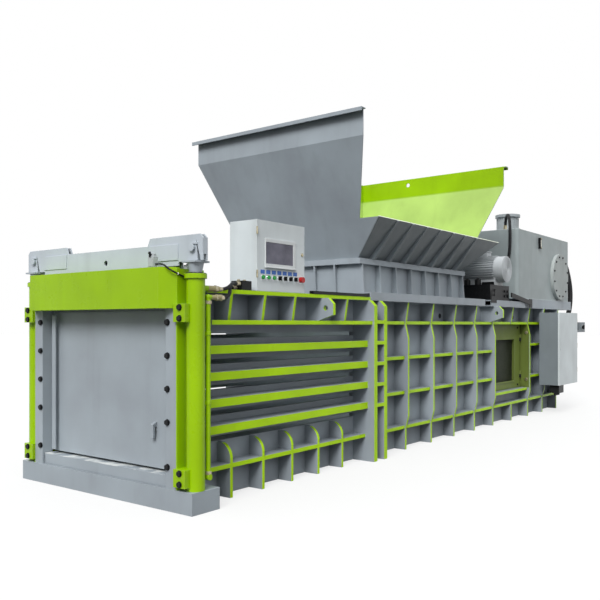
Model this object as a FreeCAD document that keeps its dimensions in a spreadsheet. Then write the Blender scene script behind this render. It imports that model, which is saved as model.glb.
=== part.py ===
import FreeCAD, Part
import math
import operator
import os
from types import SimpleNamespace

import Sketcher
from FreeCAD import Placement, Rotation, Vector

# A horizontal recycling baler with a gate at its front end. +X runs from the gate to the rear,
# the operator's side is -Y, +Z is up, and the origin is on the floor under the sill beam's middle.
# All sizes are millimetres. Sizes named "half" are distances from the middle plane Y = 0.

SIZES = {
    # Fits and running gaps.
    "running_gap": 0.3,
    "guide_gap": 4,
    # Sill beam under the gate, and the step on it.
    "sill_depth": 223,
    "sill_half": 844,
    "sill_height": 128,
    "step_front": 24,
    "step_depth": 120,
    "step_gap": 6,
    "step_height": 72,
    # Clear inside of the chamber and of the press body.
    "clear_half": 560,
    "clear_height": 880,
    "floor_top": 215,
    "floor_thickness": 36,
    "skin_thickness": 36,
    "roof_thickness": 25,
    "rib_thickness": 25,
    "rail_thickness": 28,
    # Gate posts with the guide bars bolted to their fronts.
    "post_front": 8,
    "post_half": 713,
    "post_web": 9,
    "post_top": 1400,
    "cable_clip_offset": 128,
    "cable_clip_size": 20,
    "cable_clip_height": 1230,
    "guide_inner_half": 618,
    "guide_depth": 78,
    "door_slot": 64,
    "door_slot_half": 664,
    # Green cover beam across the posts.
    "cover_reach": 72,
    "cover_half": 642,
    "cover_bottom": 1171,
    "cover_height": 237,
    "cover_thickness": 12,
    "cover_back": 38,
    # Gate door, lift beam, rods and pins.
    "door_bottom": 217,
    "door_thickness": 56,
    "door_face_thickness": 12,
    "door_face_half": 572,
    "door_face_top": 1160,
    "hook_offset": 451,
    "hook_bottom": 398,
    "hook_height": 96,
    "hook_width": 25,
    "hook_reach": 30,
    "lift_front": 60,
    "lift_depth": 39,
    "lift_plate": 10,
    "lift_half": 869,
    "lift_end": 28,
    "lift_end_bottom": 1478,
    "lift_bottom": 1442,
    "lift_middle_half": 670,
    "lift_middle_bottom": 1420,
    "lift_top": 1548,
    "ear_top": 1594,
    "ear_inner_half": 400,
    "ear_bevel": 22,
    "ear_notch_offset": 36,
    "ear_notch_width": 24,
    "ear_notch_height": 124,
    "beam_hole_radius": 17,
    "beam_hole_height": 1468,
    "pin_radius": 15,
    "pin_height": 1518,
    "pin_overhang": 15,
    "eye_width": 60,
    # Lift cylinders at both sides of the gate.
    "barrel_offset": 79,
    "barrel_half": 792,
    "barrel_radius": 54,
    "barrel_bore": 42,
    "barrel_top": 1369,
    "barrel_cap": 24,
    "collar_radius": 65,
    "collar_height": 28,
    "lift_rod_radius": 27.5,
    "lift_piston_height": 60,
    "rod_cone_radius": 48,
    "rod_cone_foot": 37,
    "rod_cone_height": 54,
    "rod_pad_half": 56,
    "rod_pad_thickness": 10,
    "bracket_height": 104,
    "bracket_low": 150,
    "bracket_high": 1092,
    "bracket_width": 88,
    "bracket_plate": 22,
    "bolt_head_radius": 13.5,
    "bolt_head_height": 12,
    "guide_bolt_low": 253,
    "guide_bolt_top": 1091,
    "guide_bolt_pitch": 193,
    "guide_bolt_edge": 17,
    "pipe_offset": 150,
    "pipe_half": 821,
    "pipe_radius": 15,
    "pipe_bottom": 196,
    "pipe_top": 1236,
    "pipe_head": 98,
    "pipe_clip_low": 614,
    "pipe_clip_high": 1014,
    "pipe_clip_height": 24,
    "port_radius": 18,
    "port_height": 1288,
    "port_reach": 130,
    # Bale chamber.
    "chamber_length": 1787,
    "chamber_rib_half": 712,
    "header_rail_half": 780,
    "header_top_half": 742,
    "header_bottom": 1077,
    "deck_height": 1294,
    "header_rib_first": 201,
    "header_rib_last": 306,
    "skirt_rib_first": 230,
    "skirt_rib_last": 333,
    "skirt_rail_height": 188,
    "skirt_knee_height": 250,
    "skirt_knee_radius": 100,
    "bar_first": 441.5,
    "bar_pitch": 161.5,
    "bar_height": 51,
    "bar_half": 736,
    "slot_height": 30,
    # Bolted joint between the chamber and the press body.
    "flange_thickness": 48,
    "flange_gap": 102,
    "flange_half": 795,
    "flange_height": 1268,
    "flange_chamfer": 45,
    "rung_first": 427,
    "rung_pitch": 164,
    "rung_height": 28,
    "rung_depth": 60,
    # Lifting lugs.
    "lug_thickness": 30,
    "lug_half": 840,
    "lug_hole_half": 774,
    "lug_hole_height": 1196,
    "lug_hole_radius": 19,
    "lug_corner": 42,
    "press_lug_distance": 2281,
    # Press body: nine bays between its ribs.
    "bay_1": 452,
    "bay_2": 470,
    "bay_3": 470,
    "bay_4": 470,
    "bay_5": 470,
    "bay_6": 512,
    "bay_7": 512,
    "bay_8": 488,
    "bay_9": 518,
    "press_rib_half": 704,
    "press_bulge_half": 732,
    "press_bulge_low": 290,
    "press_bulge_high": 955,
    "press_rail_low": 180,
    "press_rail_pitch": 299,
    "press_rail_inset": 5,
    "rear_rail_drop": 28,
    "rear_rail_rise": 47,
    "press_top": 1268,
    "rear_plate_thickness": 40,
    # Inspection hatch in the operator's side wall.
    "window_margin": 40,
    "window_sill": 372,
    "window_height": 670,
    "hatch_margin": 22,
    "hatch_overlap": 30,
    "hatch_thickness": 25,
    "hatch_clearance": 5,
    "mesh_margin": 68,
    "mesh_rear_margin": 187,
    "mesh_low": 79,
    "mesh_height": 493,
    "mesh_thickness": 5,
    "mesh_cell": 55,
    "mesh_wire": 9,
    "hinge_pin_radius": 9,
    "hinge_length": 80,
    "hinge_inset": 110,
    # Deck frame and tank frame.
    "channel_half": 746,
    "channel_inner_half": 575,
    "channel_height": 68,
    "channel_wall": 12,
    "channel_start": 2041,
    "channel_front_end": 4254,
    "channel_rear_start": 4416,
    "channel_rear_end": 5374,
    "tank_frame_half": 722,
    "tank_frame_length": 1756,
    "tank_frame_height": 110,
    # Hopper.
    "hopper_start": 2120,
    "hopper_length": 1890,
    "hopper_wall": 22,
    "base_rim_height": 235,
    "rim_thickness": 45,
    "rim_overhang": 40,
    "gusset_reach": 55,
    "gusset_lip": 38,
    "gusset_thickness": 14,
    "brace_foot": 15,
    "brace_inner": 155,
    "brace_outer": 360,
    "hopper_sheet": 8,
    "hopper_fold": 879,
    "hopper_top": 1076,
    "rear_fold": 899,
    "rear_top": 1106,
    "front_lean": 379,
    "rear_lean": 430,
    "flare_half": 868,
    "wing_half": 853,
    "wing_rise": 302,
    "wing_rear_reach": 220,
    "wing_rib_depth": 58,
    "wing_rib_thickness": 30,
    "wing_rib_first": 150,
    "wing_rib_pitch": 255,
    "lip_reach": 56,
    "lip_height": 29,
    "lip_half": 891,
    "rear_hole_radius": 22,
    "rear_hole_half": 260,
    "rear_hole_rise": 1040,
    # Oil tank on the rear end.
    "tank_start": 5272,
    "tank_length": 1825,
    "tank_half": 704,
    "tank_height": 802,
    "tank_wall": 10,
    "manhole_radius": 295,
    "manhole_thickness": 38,
    "manhole_inset": 436,
    "manhole_height": 312,
    "manhole_bolt_circle": 258,
    "manhole_bolt_radius": 12,
    "manhole_bolt_height": 12,
    "gauge_distance": 690,
    "gauge_low": 622,
    "gauge_height": 130,
    "gauge_width": 56,
    "gauge_depth": 26,
    "filter_distance": 958,
    "filter_half": 200,
    "filter_radius": 130,
    "filter_height": 270,
    "filter_cap_radius": 155,
    "filter_cap_height": 34,
    "filter_port_height": 150,
    "hose_port_radius": 42,
    "hose_port_reach": 45,
    "breather_distance": 330,
    "breather_half": 420,
    "breather_radius": 24,
    "breather_height": 40,
    # Pump motor, its base and the valve block.
    "motor_distance": 4700,
    "motor_inner_half": 330,
    "motor_length": 470,
    "motor_radius": 135,
    "motor_height": 1670,
    "motor_flange_radius": 160,
    "motor_flange_thickness": 22,
    "motor_cowl_length": 90,
    "motor_cowl_radius": 141,
    "motor_foot_width": 210,
    "pump_length": 190,
    "pump_radius": 75,
    "valve_length": 520,
    "valve_inner_half": 250,
    "valve_width": 470,
    "valve_height": 164,
    "valve_port_height": 90,
    "valve_coil_radius": 32,
    "valve_coil_height": 58,
    "valve_coil_pitch": 120,
    # Operator's control cabinet on the chamber.
    "panel_start": 676,
    "panel_width": 504,
    "panel_half": 503,
    "panel_depth": 236,
    "panel_height": 459,
    "panel_foot": 3,
    "panel_wall": 4,
    "panel_door": 18,
    "panel_hood_reach": 90,
    "screen_start": 90,
    "screen_width": 296,
    "screen_low": 169,
    "screen_height": 163,
    "screen_depth": 30,
    "screen_proud": 6,
    "control_first": 55,
    "control_pitch": 57,
    "control_height": 88,
    "control_stem_radius": 11,
    "control_stem_length": 40,
    "control_collar_radius": 15,
    "button_radius": 13,
    "button_height": 8,
    "button_travel": 4,
    "selector_radius": 14,
    "selector_height": 9,
    "selector_grip_width": 8,
    "selector_grip_height": 13,
    "stop_radius": 20,
    "stop_height": 24,
    "stop_travel": 5,
    # Electric cabinet on the press body.
    "electric_overlap": 725.5,
    "electric_width": 683,
    "electric_depth": 243,
    "electric_low": 350,
    "electric_height": 868,
    "electric_strip": 5,
    "electric_wall": 4,
    "electric_door": 20,
    "isolator_width": 235,
    "isolator_depth": 90,
    "isolator_height": 127,
    "isolator_low": 628,
    "isolator_gap": 150,
    "isolator_arm": 25,
    "gland_width": 170,
    "gland_depth": 110,
    "gland_height": 95,
    "lock_inset": 40,
    # Ram and its main cylinder.
    "ram_start": 4080,
    "ram_length": 2150,
    "ram_side_gap": 8,
    "ram_top_gap": 12,
    "ram_wall": 25,
    "ram_face": 60,
    "wear_strip": 12,
    "wear_strip_width": 90,
    "main_axis_height": 655,
    "main_barrel_start": 4400,
    "main_barrel_end": 7050,
    "main_barrel_radius": 150,
    "main_bore": 120,
    "main_rod_radius": 80,
    "main_piston": 150,
    "main_end_cap": 60,
    "main_flange_radius": 215,
    "main_flange_thickness": 40,
    "main_port_inset": 110,
    "rod_seat_radius": 130,
    "rod_seat_thickness": 40,
    # Hoses and the cable.
    "hose_radius": 11,
    "tank_hose_radius": 17,
    "return_hose_radius": 32,
    "cable_radius": 5,
    "manifold_start": 530,
    "manifold_length": 90,
    "manifold_half": 650,
    "manifold_width": 92,
    "manifold_height": 60,
    "switch_half": 534,
    "switch_width": 46,
    "switch_height": 90,
    "switch_depth": 44,
    "post_switch_offset": 90,
    "post_switch_size": 34,
}

OPERATORS = {"+": operator.add, "-": operator.sub, "*": operator.mul, "/": operator.truediv}


class Size:
    """A length from the sheet, or a sum of such lengths: its expression and its present value."""

    def __init__(self, text, value):
        self.text = text
        self.value = value

    def join(self, sign, other, swapped=False):
        first, second = sized(self), sized(other)
        if swapped:
            first, second = second, first
        text = f"({first.text} {sign} {second.text})"
        return Size(text, OPERATORS[sign](first.value, second.value))

    def __add__(self, other):
        return self.join("+", other)

    def __radd__(self, other):
        return self.join("+", other, swapped=True)

    def __sub__(self, other):
        return self.join("-", other)

    def __rsub__(self, other):
        return self.join("-", other, swapped=True)

    def __mul__(self, other):
        return self.join("*", other)

    def __rmul__(self, other):
        return self.join("*", other, swapped=True)

    def __truediv__(self, other):
        return self.join("/", other)

    def __neg__(self):
        return self.join("*", -1)


def sized(amount):
    return amount if isinstance(amount, Size) else Size(f"({float(amount):.6f})", float(amount))


doc = FreeCAD.newDocument("baler")
sheet = doc.addObject("Spreadsheet::Sheet", "Sizes")
s = SimpleNamespace()
for line, (alias, number) in enumerate(SIZES.items(), start=1):
    sheet.set(f"A{line}", alias)
    sheet.set(f"B{line}", str(number))
    sheet.setAlias(f"B{line}", alias)
    setattr(s, alias, Size(f"Sizes.{alias}", float(number)))
doc.recompute()

TURNS = {
    "X": Rotation(Vector(0, 1, 0), 90),
    "Y": Rotation(Vector(1, 0, 0), -90),
    "Z": Rotation(),
}
nodes = []


def bind(item, path, amount):
    item.setExpression(path, sized(amount).text)


def place(item, x, y, z):
    for axis, amount in zip("xyz", (x, y, z)):
        bind(item, f"Placement.Base.{axis}", amount)


def point_on(axis, along, across):
    """Orders a coordinate along an axis and the two across it as x, y, z."""
    spot = list(across)
    spot.insert("XYZ".index(axis), along)
    return spot


def block(name, x, y, z):
    """A box between the two ends given for each axis."""
    item = doc.addObject("Part::Box", name)
    for edge, (low, high) in zip(("Length", "Width", "Height"), (x, y, z)):
        bind(item, edge, sized(high) - low)
    place(item, x[0], y[0], z[0])
    return item


def cylinder(name, axis, across, radius, span):
    item = doc.addObject("Part::Cylinder", name)
    item.Placement = Placement(Vector(), TURNS[axis])
    bind(item, "Radius", radius)
    bind(item, "Height", sized(span[1]) - span[0])
    place(item, *point_on(axis, span[0], across))
    return item


def cone(name, axis, across, radii, span):
    item = doc.addObject("Part::Cone", name)
    item.Placement = Placement(Vector(), TURNS[axis])
    bind(item, "Radius1", radii[0])
    bind(item, "Radius2", radii[1])
    bind(item, "Height", sized(span[1]) - span[0])
    place(item, *point_on(axis, span[0], across))
    return item


def arc_between(start, end, radius):
    """An arc from start to end that bulges to the right of the way, or to the left if radius is negative."""
    chord = end - start
    middle = (start + end) / 2
    side = Vector(chord.y, -chord.x, 0).normalize()
    half = chord.Length / 2
    rise = abs(radius) - math.sqrt(max(radius * radius - half * half, 0.0))
    return Part.Arc(start, middle + side * math.copysign(rise, radius), end)


def plate(name, plane, outline, span, arcs=None, holes=()):
    """A flat plate: an outline drawn in a plane, padded between two ends on the plane's axis.

    arcs gives the radius of each rounded edge by the number of its first corner, and holes
    lists (across, up, radius).
    """
    arcs = arcs or {}
    body = doc.addObject("PartDesign::Body", name)
    sketch = body.newObject("Sketcher::SketchObject", name + "_outline")
    role = plane + "_Plane"
    sketch.AttachmentSupport = (next(f for f in body.Origin.OriginFeatures if f.Role == role), "")
    sketch.MapMode = "FlatFace"
    corners = [(sized(across), sized(up)) for across, up in outline]
    spots = [Vector(across.value, up.value, 0) for across, up in corners]
    for number, start in enumerate(spots):
        end = spots[(number + 1) % len(spots)]
        if number in arcs:
            edge = arc_between(start, end, sized(arcs[number]).value)
        else:
            edge = Part.LineSegment(start, end)
        sketch.addGeometry(edge, False)
    # An arc of a sketch always runs anticlockwise, so its ends may have changed places.
    ends = []
    for number, start in enumerate(spots):
        to_start = sketch.getPoint(number, 1).distanceToPoint(start)
        to_end = sketch.getPoint(number, 2).distanceToPoint(start)
        near = to_start < to_end
        ends.append((1, 2) if near else (2, 1))
    for number, (across, up) in enumerate(corners):
        following = (number + 1) % len(corners)
        sketch.addConstraint(
            Sketcher.Constraint("Coincident", number, ends[number][1], following, ends[following][0])
        )
        tie(sketch, "DistanceX", (-1, 1, number, ends[number][0]), across)
        tie(sketch, "DistanceY", (-1, 1, number, ends[number][0]), up)
    for number, radius in arcs.items():
        tie(sketch, "Radius", (number,), abs_size(radius))
    for across, up, radius in holes:
        across, up, radius = sized(across), sized(up), sized(radius)
        ring = sketch.addGeometry(
            Part.Circle(Vector(across.value, up.value, 0), Vector(0, 0, 1), radius.value), False
        )
        tie(sketch, "DistanceX", (-1, 1, ring, 3), across)
        tie(sketch, "DistanceY", (-1, 1, ring, 3), up)
        tie(sketch, "Radius", (ring,), radius)
    pad = body.newObject("PartDesign::Pad", name + "_pad")
    pad.Profile = sketch
    pad.Reversed = plane == "XZ"
    bind(pad, "Length", sized(span[1]) - span[0])
    axis = {"XY": "z", "XZ": "y", "YZ": "x"}[plane]
    bind(body, f"Placement.Base.{axis}", span[0])
    sketch.Visibility = False
    return body


def abs_size(radius):
    radius = sized(radius)
    return radius if radius.value > 0 else -radius


def tie(sketch, kind, ends, amount):
    index = sketch.addConstraint(Sketcher.Constraint(kind, *ends, amount.value))
    sketch.setExpression(f"Constraints[{index}]", amount.text)


def fuse(name, items):
    item = doc.addObject("Part::MultiFuse", name)
    item.Shapes = items
    item.Refine = True
    return item


def cut(name, base, tools):
    tool = tools[0] if len(tools) == 1 else fuse(name + "_tools", tools)
    item = doc.addObject("Part::Cut", name)
    item.Base = base
    item.Tool = tool
    item.Refine = True
    return item


def common(name, items):
    item = doc.addObject("Part::MultiCommon", name)
    item.Shapes = items
    item.Refine = True
    return item


def group(name, items):
    item = doc.addObject("Part::Compound", name)
    item.Links = items
    return item


def zone(name, item, x_span, y_span, z_span):
    """The part of an item that lies inside a box, as a solid of its own."""
    return common(name, [item, block(name + "_box", x_span, y_span, z_span)])


def mirrored(name, source):
    item = doc.addObject("Part::Mirroring", name)
    item.Source = source
    item.Normal = Vector(0, 1, 0)
    return item


def both_sides(name, source):
    """The same piece at +Y and, mirrored, at -Y."""
    return group(name, [source, mirrored(name + "_right", source)])


def node(name, item):
    item.Label = name
    nodes.append(item)
    return item


# Shared stations along the length and across the section.
front = s.sill_depth / -2
chamber_front = front + s.sill_depth
chamber_end = chamber_front + s.chamber_length
flange_end = chamber_end + s.flange_thickness
press_flange = flange_end + s.flange_gap
press_front = press_flange + s.flange_thickness
skin_half = s.clear_half + s.skin_thickness
roof_under = s.floor_top + s.clear_height
roof_top = roof_under + s.roof_thickness
bays = [getattr(s, f"bay_{number}") for number in range(1, 10)]
rib_stations = []
station = press_front
for bay in bays:
    station = station + bay
    rib_stations.append(station)
press_end = station + s.rib_thickness + s.guide_gap
window_front = rib_stations[4] + s.rib_thickness
window_rear = rib_stations[6]


def from_sill(distance):
    """A station measured back from the sill beam's front face."""
    return front + distance


# ---- Sill beam and step -------------------------------------------------------------------
sill = block("sill_box", (front, chamber_front), (-s.sill_half, s.sill_half), (0, s.sill_height))
step_top = s.sill_height + s.step_height
step = block(
    "step_box",
    (from_sill(s.step_front), from_sill(s.step_front + s.step_depth)),
    (s.step_gap - s.guide_inner_half, s.guide_inner_half - s.step_gap),
    (s.sill_height, step_top),
)
node("sill_beam", fuse("sill_beam_shape", [sill, step]))

# ---- Gate posts and guide bars ------------------------------------------------------------
post_front = from_sill(s.post_front)
slot_front = post_front + s.guide_depth
slot_back = slot_front + s.door_slot
post_inner = s.post_half - s.post_web
cover_end_half = post_inner
post = plate(
    "post_left",
    "XY",
    [
        (post_front, s.post_half),
        (chamber_front, s.post_half),
        (chamber_front, s.clear_half),
        (slot_back, s.clear_half),
        (slot_back, s.door_slot_half),
        (slot_front, s.door_slot_half),
        (slot_front, post_inner),
        (post_front, post_inner),
    ],
    (s.sill_height, s.post_top),
)
cable_clip = block(
    "cable_clip",
    (post_front + s.cable_clip_offset, post_front + s.cable_clip_offset + s.cable_clip_size),
    (-s.post_half - s.cable_clip_size, -s.post_half),
    (s.cable_clip_height - s.cable_clip_size, s.cable_clip_height),
)
node(
    "gate_posts",
    group("gate_posts", [post, fuse("post_right", [mirrored("post_mirrored", post), cable_clip])]),
)
guide = block(
    "guide_left",
    (post_front, slot_front),
    (s.guide_inner_half, post_inner),
    (s.sill_height, s.cover_bottom - s.running_gap),
)
node("gate_guides", both_sides("gate_guides", guide))

# ---- Cover beam: a folded cover, open at its back -----------------------------------------
cover_front = front - s.cover_reach
cover_rear = from_sill(s.cover_back)
cover_top = s.cover_bottom + s.cover_height


def cover_outline(inset):
    shoulder = s.cover_half - inset / 2
    end = cover_end_half - inset
    return [
        (cover_front + inset, -shoulder),
        (cover_front + inset, shoulder),
        (post_front, end),
        (cover_rear, end),
        (cover_rear, -end),
        (post_front, -end),
    ]


cover_shell = plate("cover_shell", "XY", cover_outline(sized(0)), (s.cover_bottom, cover_top))
cover_room = plate(
    "cover_room",
    "XY",
    cover_outline(s.cover_thickness),
    (s.cover_bottom + s.cover_thickness, cover_top - s.cover_thickness),
)
cover_mouth = block(
    "cover_mouth",
    (post_front, cover_rear + s.cover_thickness),
    (s.cover_thickness - cover_end_half, cover_end_half - s.cover_thickness),
    (s.cover_bottom + s.cover_thickness, cover_top - s.cover_thickness),
)
node(
    "gate_cover_beam", cut("gate_cover_beam", cover_shell, [fuse("cover_hollow", [cover_room, cover_mouth])])
)

# ---- Lift cylinders, their brackets, pipes and bolts --------------------------------------
barrel_x = from_sill(s.barrel_offset)
barrel_at = (barrel_x, s.barrel_half)
barrel_bottom = s.sill_height
rod_gap = s.running_gap
barrel_body = cylinder("barrel_body", "Z", barrel_at, s.barrel_radius, (barrel_bottom, s.barrel_top))
barrel_collar = cylinder(
    "barrel_collar", "Z", barrel_at, s.collar_radius, (s.barrel_top - s.collar_height, s.barrel_top)
)
barrel_bore = cylinder(
    "barrel_bore",
    "Z",
    barrel_at,
    s.barrel_bore,
    (barrel_bottom + s.barrel_cap, s.barrel_top - s.collar_height),
)
gland_bore = cylinder(
    "gland_bore",
    "Z",
    barrel_at,
    s.lift_rod_radius + rod_gap,
    (s.barrel_top - s.collar_height, s.barrel_top),
)
port = cylinder(
    "barrel_port",
    "X",
    (s.barrel_half, s.port_height),
    s.port_radius,
    (barrel_x + s.barrel_radius - s.port_radius / 2, barrel_x + s.barrel_radius + s.port_reach),
)
barrel = cut(
    "barrel_left", fuse("barrel_solid", [barrel_body, barrel_collar, port]), [barrel_bore, gland_bore]
)
node("gate_cylinders", both_sides("gate_cylinders", barrel))


def bracket(name, low):
    """A saddle between the post and the barrel, with a plate over the post's front edge."""
    high = low + s.bracket_height
    outer = s.post_half + s.bracket_width
    saddle = block(name + "_saddle", (post_front, barrel_x), (s.post_half, outer), (low, high))
    face = block(
        name + "_face", (post_front - s.bracket_plate, post_front), (post_inner, outer), (low, high)
    )
    hollow = cylinder(name + "_hollow", "Z", barrel_at, s.barrel_radius, (low - 1, high + 1))
    return cut(name, fuse(name + "_block", [saddle, face]), [hollow])


brackets = [bracket("bracket_low", s.bracket_low), bracket("bracket_high", s.bracket_high)]
node("cylinder_brackets", both_sides("cylinder_brackets", group("bracket_pair", brackets)))

bolts = []
guide_bolt_heights = [s.guide_bolt_top - s.guide_bolt_pitch * number for number in range(4)]
for number, height in enumerate([*guide_bolt_heights, s.guide_bolt_low]):
    bolts.append(
        cylinder(
            f"guide_bolt_{number + 1}",
            "X",
            (s.guide_inner_half + s.guide_bolt_edge, height),
            s.bolt_head_radius,
            (post_front - s.bolt_head_height, post_front),
        )
    )
for low in (s.bracket_low, s.bracket_high):
    for share in (0.2, 0.8):
        bolts.append(
            cylinder(
                f"bracket_bolt_{len(bolts) - 4}",
                "X",
                (s.post_half + s.bracket_width / 2, low + s.bracket_height * share),
                s.bolt_head_radius,
                (
                    post_front - s.bracket_plate - s.bolt_head_height,
                    post_front - s.bracket_plate,
                ),
            )
        )
node("frame_bolts", both_sides("frame_bolts", group("bolt_set", bolts)))

pipe_x = from_sill(s.pipe_offset)
pipe_at = (pipe_x, s.pipe_half)
pipe = cylinder("pipe_run", "Z", pipe_at, s.pipe_radius, (s.pipe_bottom, s.pipe_top))
pipe_corner = doc.addObject("Part::Sphere", "pipe_corner")
bind(pipe_corner, "Radius", s.port_radius)
place(pipe_corner, pipe_x, s.pipe_half, s.pipe_top)
pipe_head = cylinder(
    "pipe_head", "X", (s.pipe_half, s.pipe_top), s.pipe_radius, (pipe_x, pipe_x + s.pipe_head)
)
pipe_elbow = cylinder(
    "pipe_elbow",
    "Y",
    (pipe_x, s.pipe_bottom),
    s.port_radius,
    (s.barrel_half - s.port_radius, s.pipe_half + s.port_radius),
)
pipe_inlet = cylinder(
    "pipe_inlet", "X", (s.barrel_half, s.pipe_bottom), s.pipe_radius, (barrel_x, pipe_x)
)
pipe_nut = cylinder(
    "pipe_nut",
    "X",
    (s.pipe_half, s.pipe_top),
    s.port_radius,
    (pipe_x + s.pipe_head - 2 * s.port_radius, pipe_x + s.pipe_head),
)
clips = []
for number, low in enumerate((s.pipe_clip_low, s.pipe_clip_high), start=1):
    clips.append(
        block(
            f"pipe_clip_{number}",
            (barrel_x, pipe_x),
            (s.barrel_half, s.pipe_half),
            (low, low + s.pipe_clip_height),
        )
    )
pipe_hollow = cylinder("pipe_hollow", "Z", barrel_at, s.barrel_radius, (s.sill_height, s.barrel_top))
pipe_pieces = [pipe, pipe_corner, pipe_head, pipe_elbow, pipe_inlet, pipe_nut, *clips]
pipes = cut("pipe_left", fuse("pipe_solid", pipe_pieces), [pipe_hollow])
node("cylinder_pipes", both_sides("cylinder_pipes", pipes))

# ---- Gate: door slab, lift beam, rods and pins --------------------------------------------
door_front = slot_front + s.guide_gap
door_rear = door_front + s.door_thickness
door_half = s.door_slot_half - s.guide_gap
door_slab = block(
    "door_slab", (door_front, door_rear), (-door_half, door_half), (s.door_bottom, s.lift_middle_bottom)
)
door_face = block(
    "door_face",
    (door_front - s.door_face_thickness, door_front),
    (-s.door_face_half, s.door_face_half),
    (s.door_bottom, s.door_face_top),
)
hook_y = -s.hook_offset
hook_x = door_front - s.door_face_thickness
hook_top = s.hook_bottom + s.hook_height
hook = plate(
    "door_hook",
    "XZ",
    [
        (hook_x, hook_top),
        (hook_x - s.hook_reach, hook_top - s.hook_reach / 2),
        (hook_x - s.hook_reach, s.hook_bottom),
        (hook_x - s.hook_reach / 2, s.hook_bottom),
        (hook_x - s.hook_reach / 2, hook_top - s.hook_reach),
        (hook_x, hook_top - s.hook_reach),
    ],
    (hook_y - s.hook_width / 2, hook_y + s.hook_width / 2),
)
node("gate_door", fuse("gate_door", [door_slab, door_face, hook]))

beam_front = from_sill(s.lift_front)
beam_rear = beam_front + s.lift_depth
eye_front = beam_front + s.lift_plate
eye_rear = beam_rear - s.lift_plate


def ear_outline(notched):
    """The lift plate seen from the front: two raised ears, each with a tapered notch beside its pin."""
    corners = [
        (-s.lift_half, s.lift_bottom),
        (-s.lift_half, s.ear_top - s.ear_bevel),
        (s.ear_bevel - s.lift_half, s.ear_top),
        (-s.ear_inner_half - s.ear_bevel, s.ear_top),
        (-s.ear_inner_half, s.lift_top),
        (s.ear_inner_half, s.lift_top),
        (s.ear_inner_half + s.ear_bevel, s.ear_top),
        (s.lift_half - s.ear_bevel, s.ear_top),
        (s.lift_half, s.ear_top - s.ear_bevel),
        (s.lift_half, s.lift_bottom),
    ]
    left_notch = notch(1) if notched else []
    right_notch = notch(-1) if notched else []
    middle = [
        (s.lift_middle_half, s.lift_bottom),
        (s.lift_middle_half, s.lift_middle_bottom),
        (-s.lift_middle_half, s.lift_middle_bottom),
        (-s.lift_middle_half, s.lift_bottom),
    ]
    return [*corners, *left_notch, *middle, *right_notch]


def notch(side):
    edge = s.barrel_half * side - s.ear_notch_offset
    notch_top = s.lift_bottom + s.ear_notch_height
    return [
        (edge, s.lift_bottom),
        (edge + s.ear_notch_width / 2, notch_top),
        (edge - s.ear_notch_width, s.lift_bottom),
    ]


pin_holes = [(s.barrel_half * side, s.pin_height, s.pin_radius) for side in (1, -1)]
beam_hole = [(0, s.beam_hole_height, s.beam_hole_radius)]
beam_plates = [
    plate("beam_plate_front", "YZ", ear_outline(True), (beam_front, eye_front), holes=pin_holes + beam_hole),
    plate("beam_plate_rear", "YZ", ear_outline(False), (eye_rear, beam_rear), holes=pin_holes),
]
beam_end = block(
    "beam_end",
    (eye_front, eye_rear),
    (s.lift_half - s.lift_end, s.lift_half),
    (s.lift_end_bottom, s.ear_top - s.ear_bevel),
)
beam_web = block(
    "beam_web",
    (eye_front, eye_rear),
    (-s.ear_inner_half, s.ear_inner_half),
    (s.lift_middle_bottom, s.lift_middle_bottom + s.lift_plate),
)
node(
    "lift_beam",
    fuse("lift_beam_shape", [*beam_plates, beam_end, mirrored("beam_end_right", beam_end), beam_web]),
)

rod_bottom = barrel_bottom + s.barrel_cap + s.guide_gap
pad_bottom = s.lift_bottom - s.rod_pad_thickness
lift_piston = cylinder(
    "lift_piston", "Z", barrel_at, s.barrel_bore - rod_gap, (rod_bottom, rod_bottom + s.lift_piston_height)
)
lift_shaft = cylinder("lift_shaft", "Z", barrel_at, s.lift_rod_radius, (rod_bottom, s.lift_bottom))
lift_cone = cone(
    "lift_cone",
    "Z",
    barrel_at,
    (s.rod_cone_foot, s.rod_cone_radius),
    (pad_bottom - s.rod_cone_height, pad_bottom),
)
lift_pad = block(
    "lift_pad",
    (barrel_x - s.rod_pad_half, barrel_x + s.rod_pad_half),
    (s.barrel_half - s.rod_pad_half, s.barrel_half + s.rod_pad_half),
    (pad_bottom, s.lift_bottom),
)
eye_top = s.pin_height + s.eye_width / 2
lift_eye = block(
    "lift_eye",
    (eye_front, eye_rear),
    (s.barrel_half - s.eye_width / 2, s.barrel_half + s.eye_width / 2),
    (s.lift_bottom, eye_top),
)
lift_pin = cylinder(
    "lift_pin",
    "X",
    (s.barrel_half, s.pin_height),
    s.pin_radius,
    (beam_front - s.pin_overhang, beam_rear + s.pin_overhang),
)
rod_left = fuse("rod_left", [lift_piston, lift_shaft, lift_cone, lift_pad, lift_eye, lift_pin])
node("gate_rods", both_sides("gate_rods", rod_left))

# ---- Floors and roofs ---------------------------------------------------------------------
floor_under = s.floor_top - s.floor_thickness


def cross_beams(name, stations, low, high):
    """Upright plates across the machine, under a floor or on a roof."""
    return [
        block(f"{name}_{number}", (at, at + s.rib_thickness), (-s.clear_half, s.clear_half), (low, high))
        for number, at in enumerate(stations, start=1)
    ]


chamber_rib_count = 5


def chamber_stations(first, last):
    """Evenly spaced ribs between a first and a last margin of the chamber."""
    pitch = (s.chamber_length - first - last) / (chamber_rib_count - 1)
    return [chamber_front + first + pitch * number for number in range(chamber_rib_count)]


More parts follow.
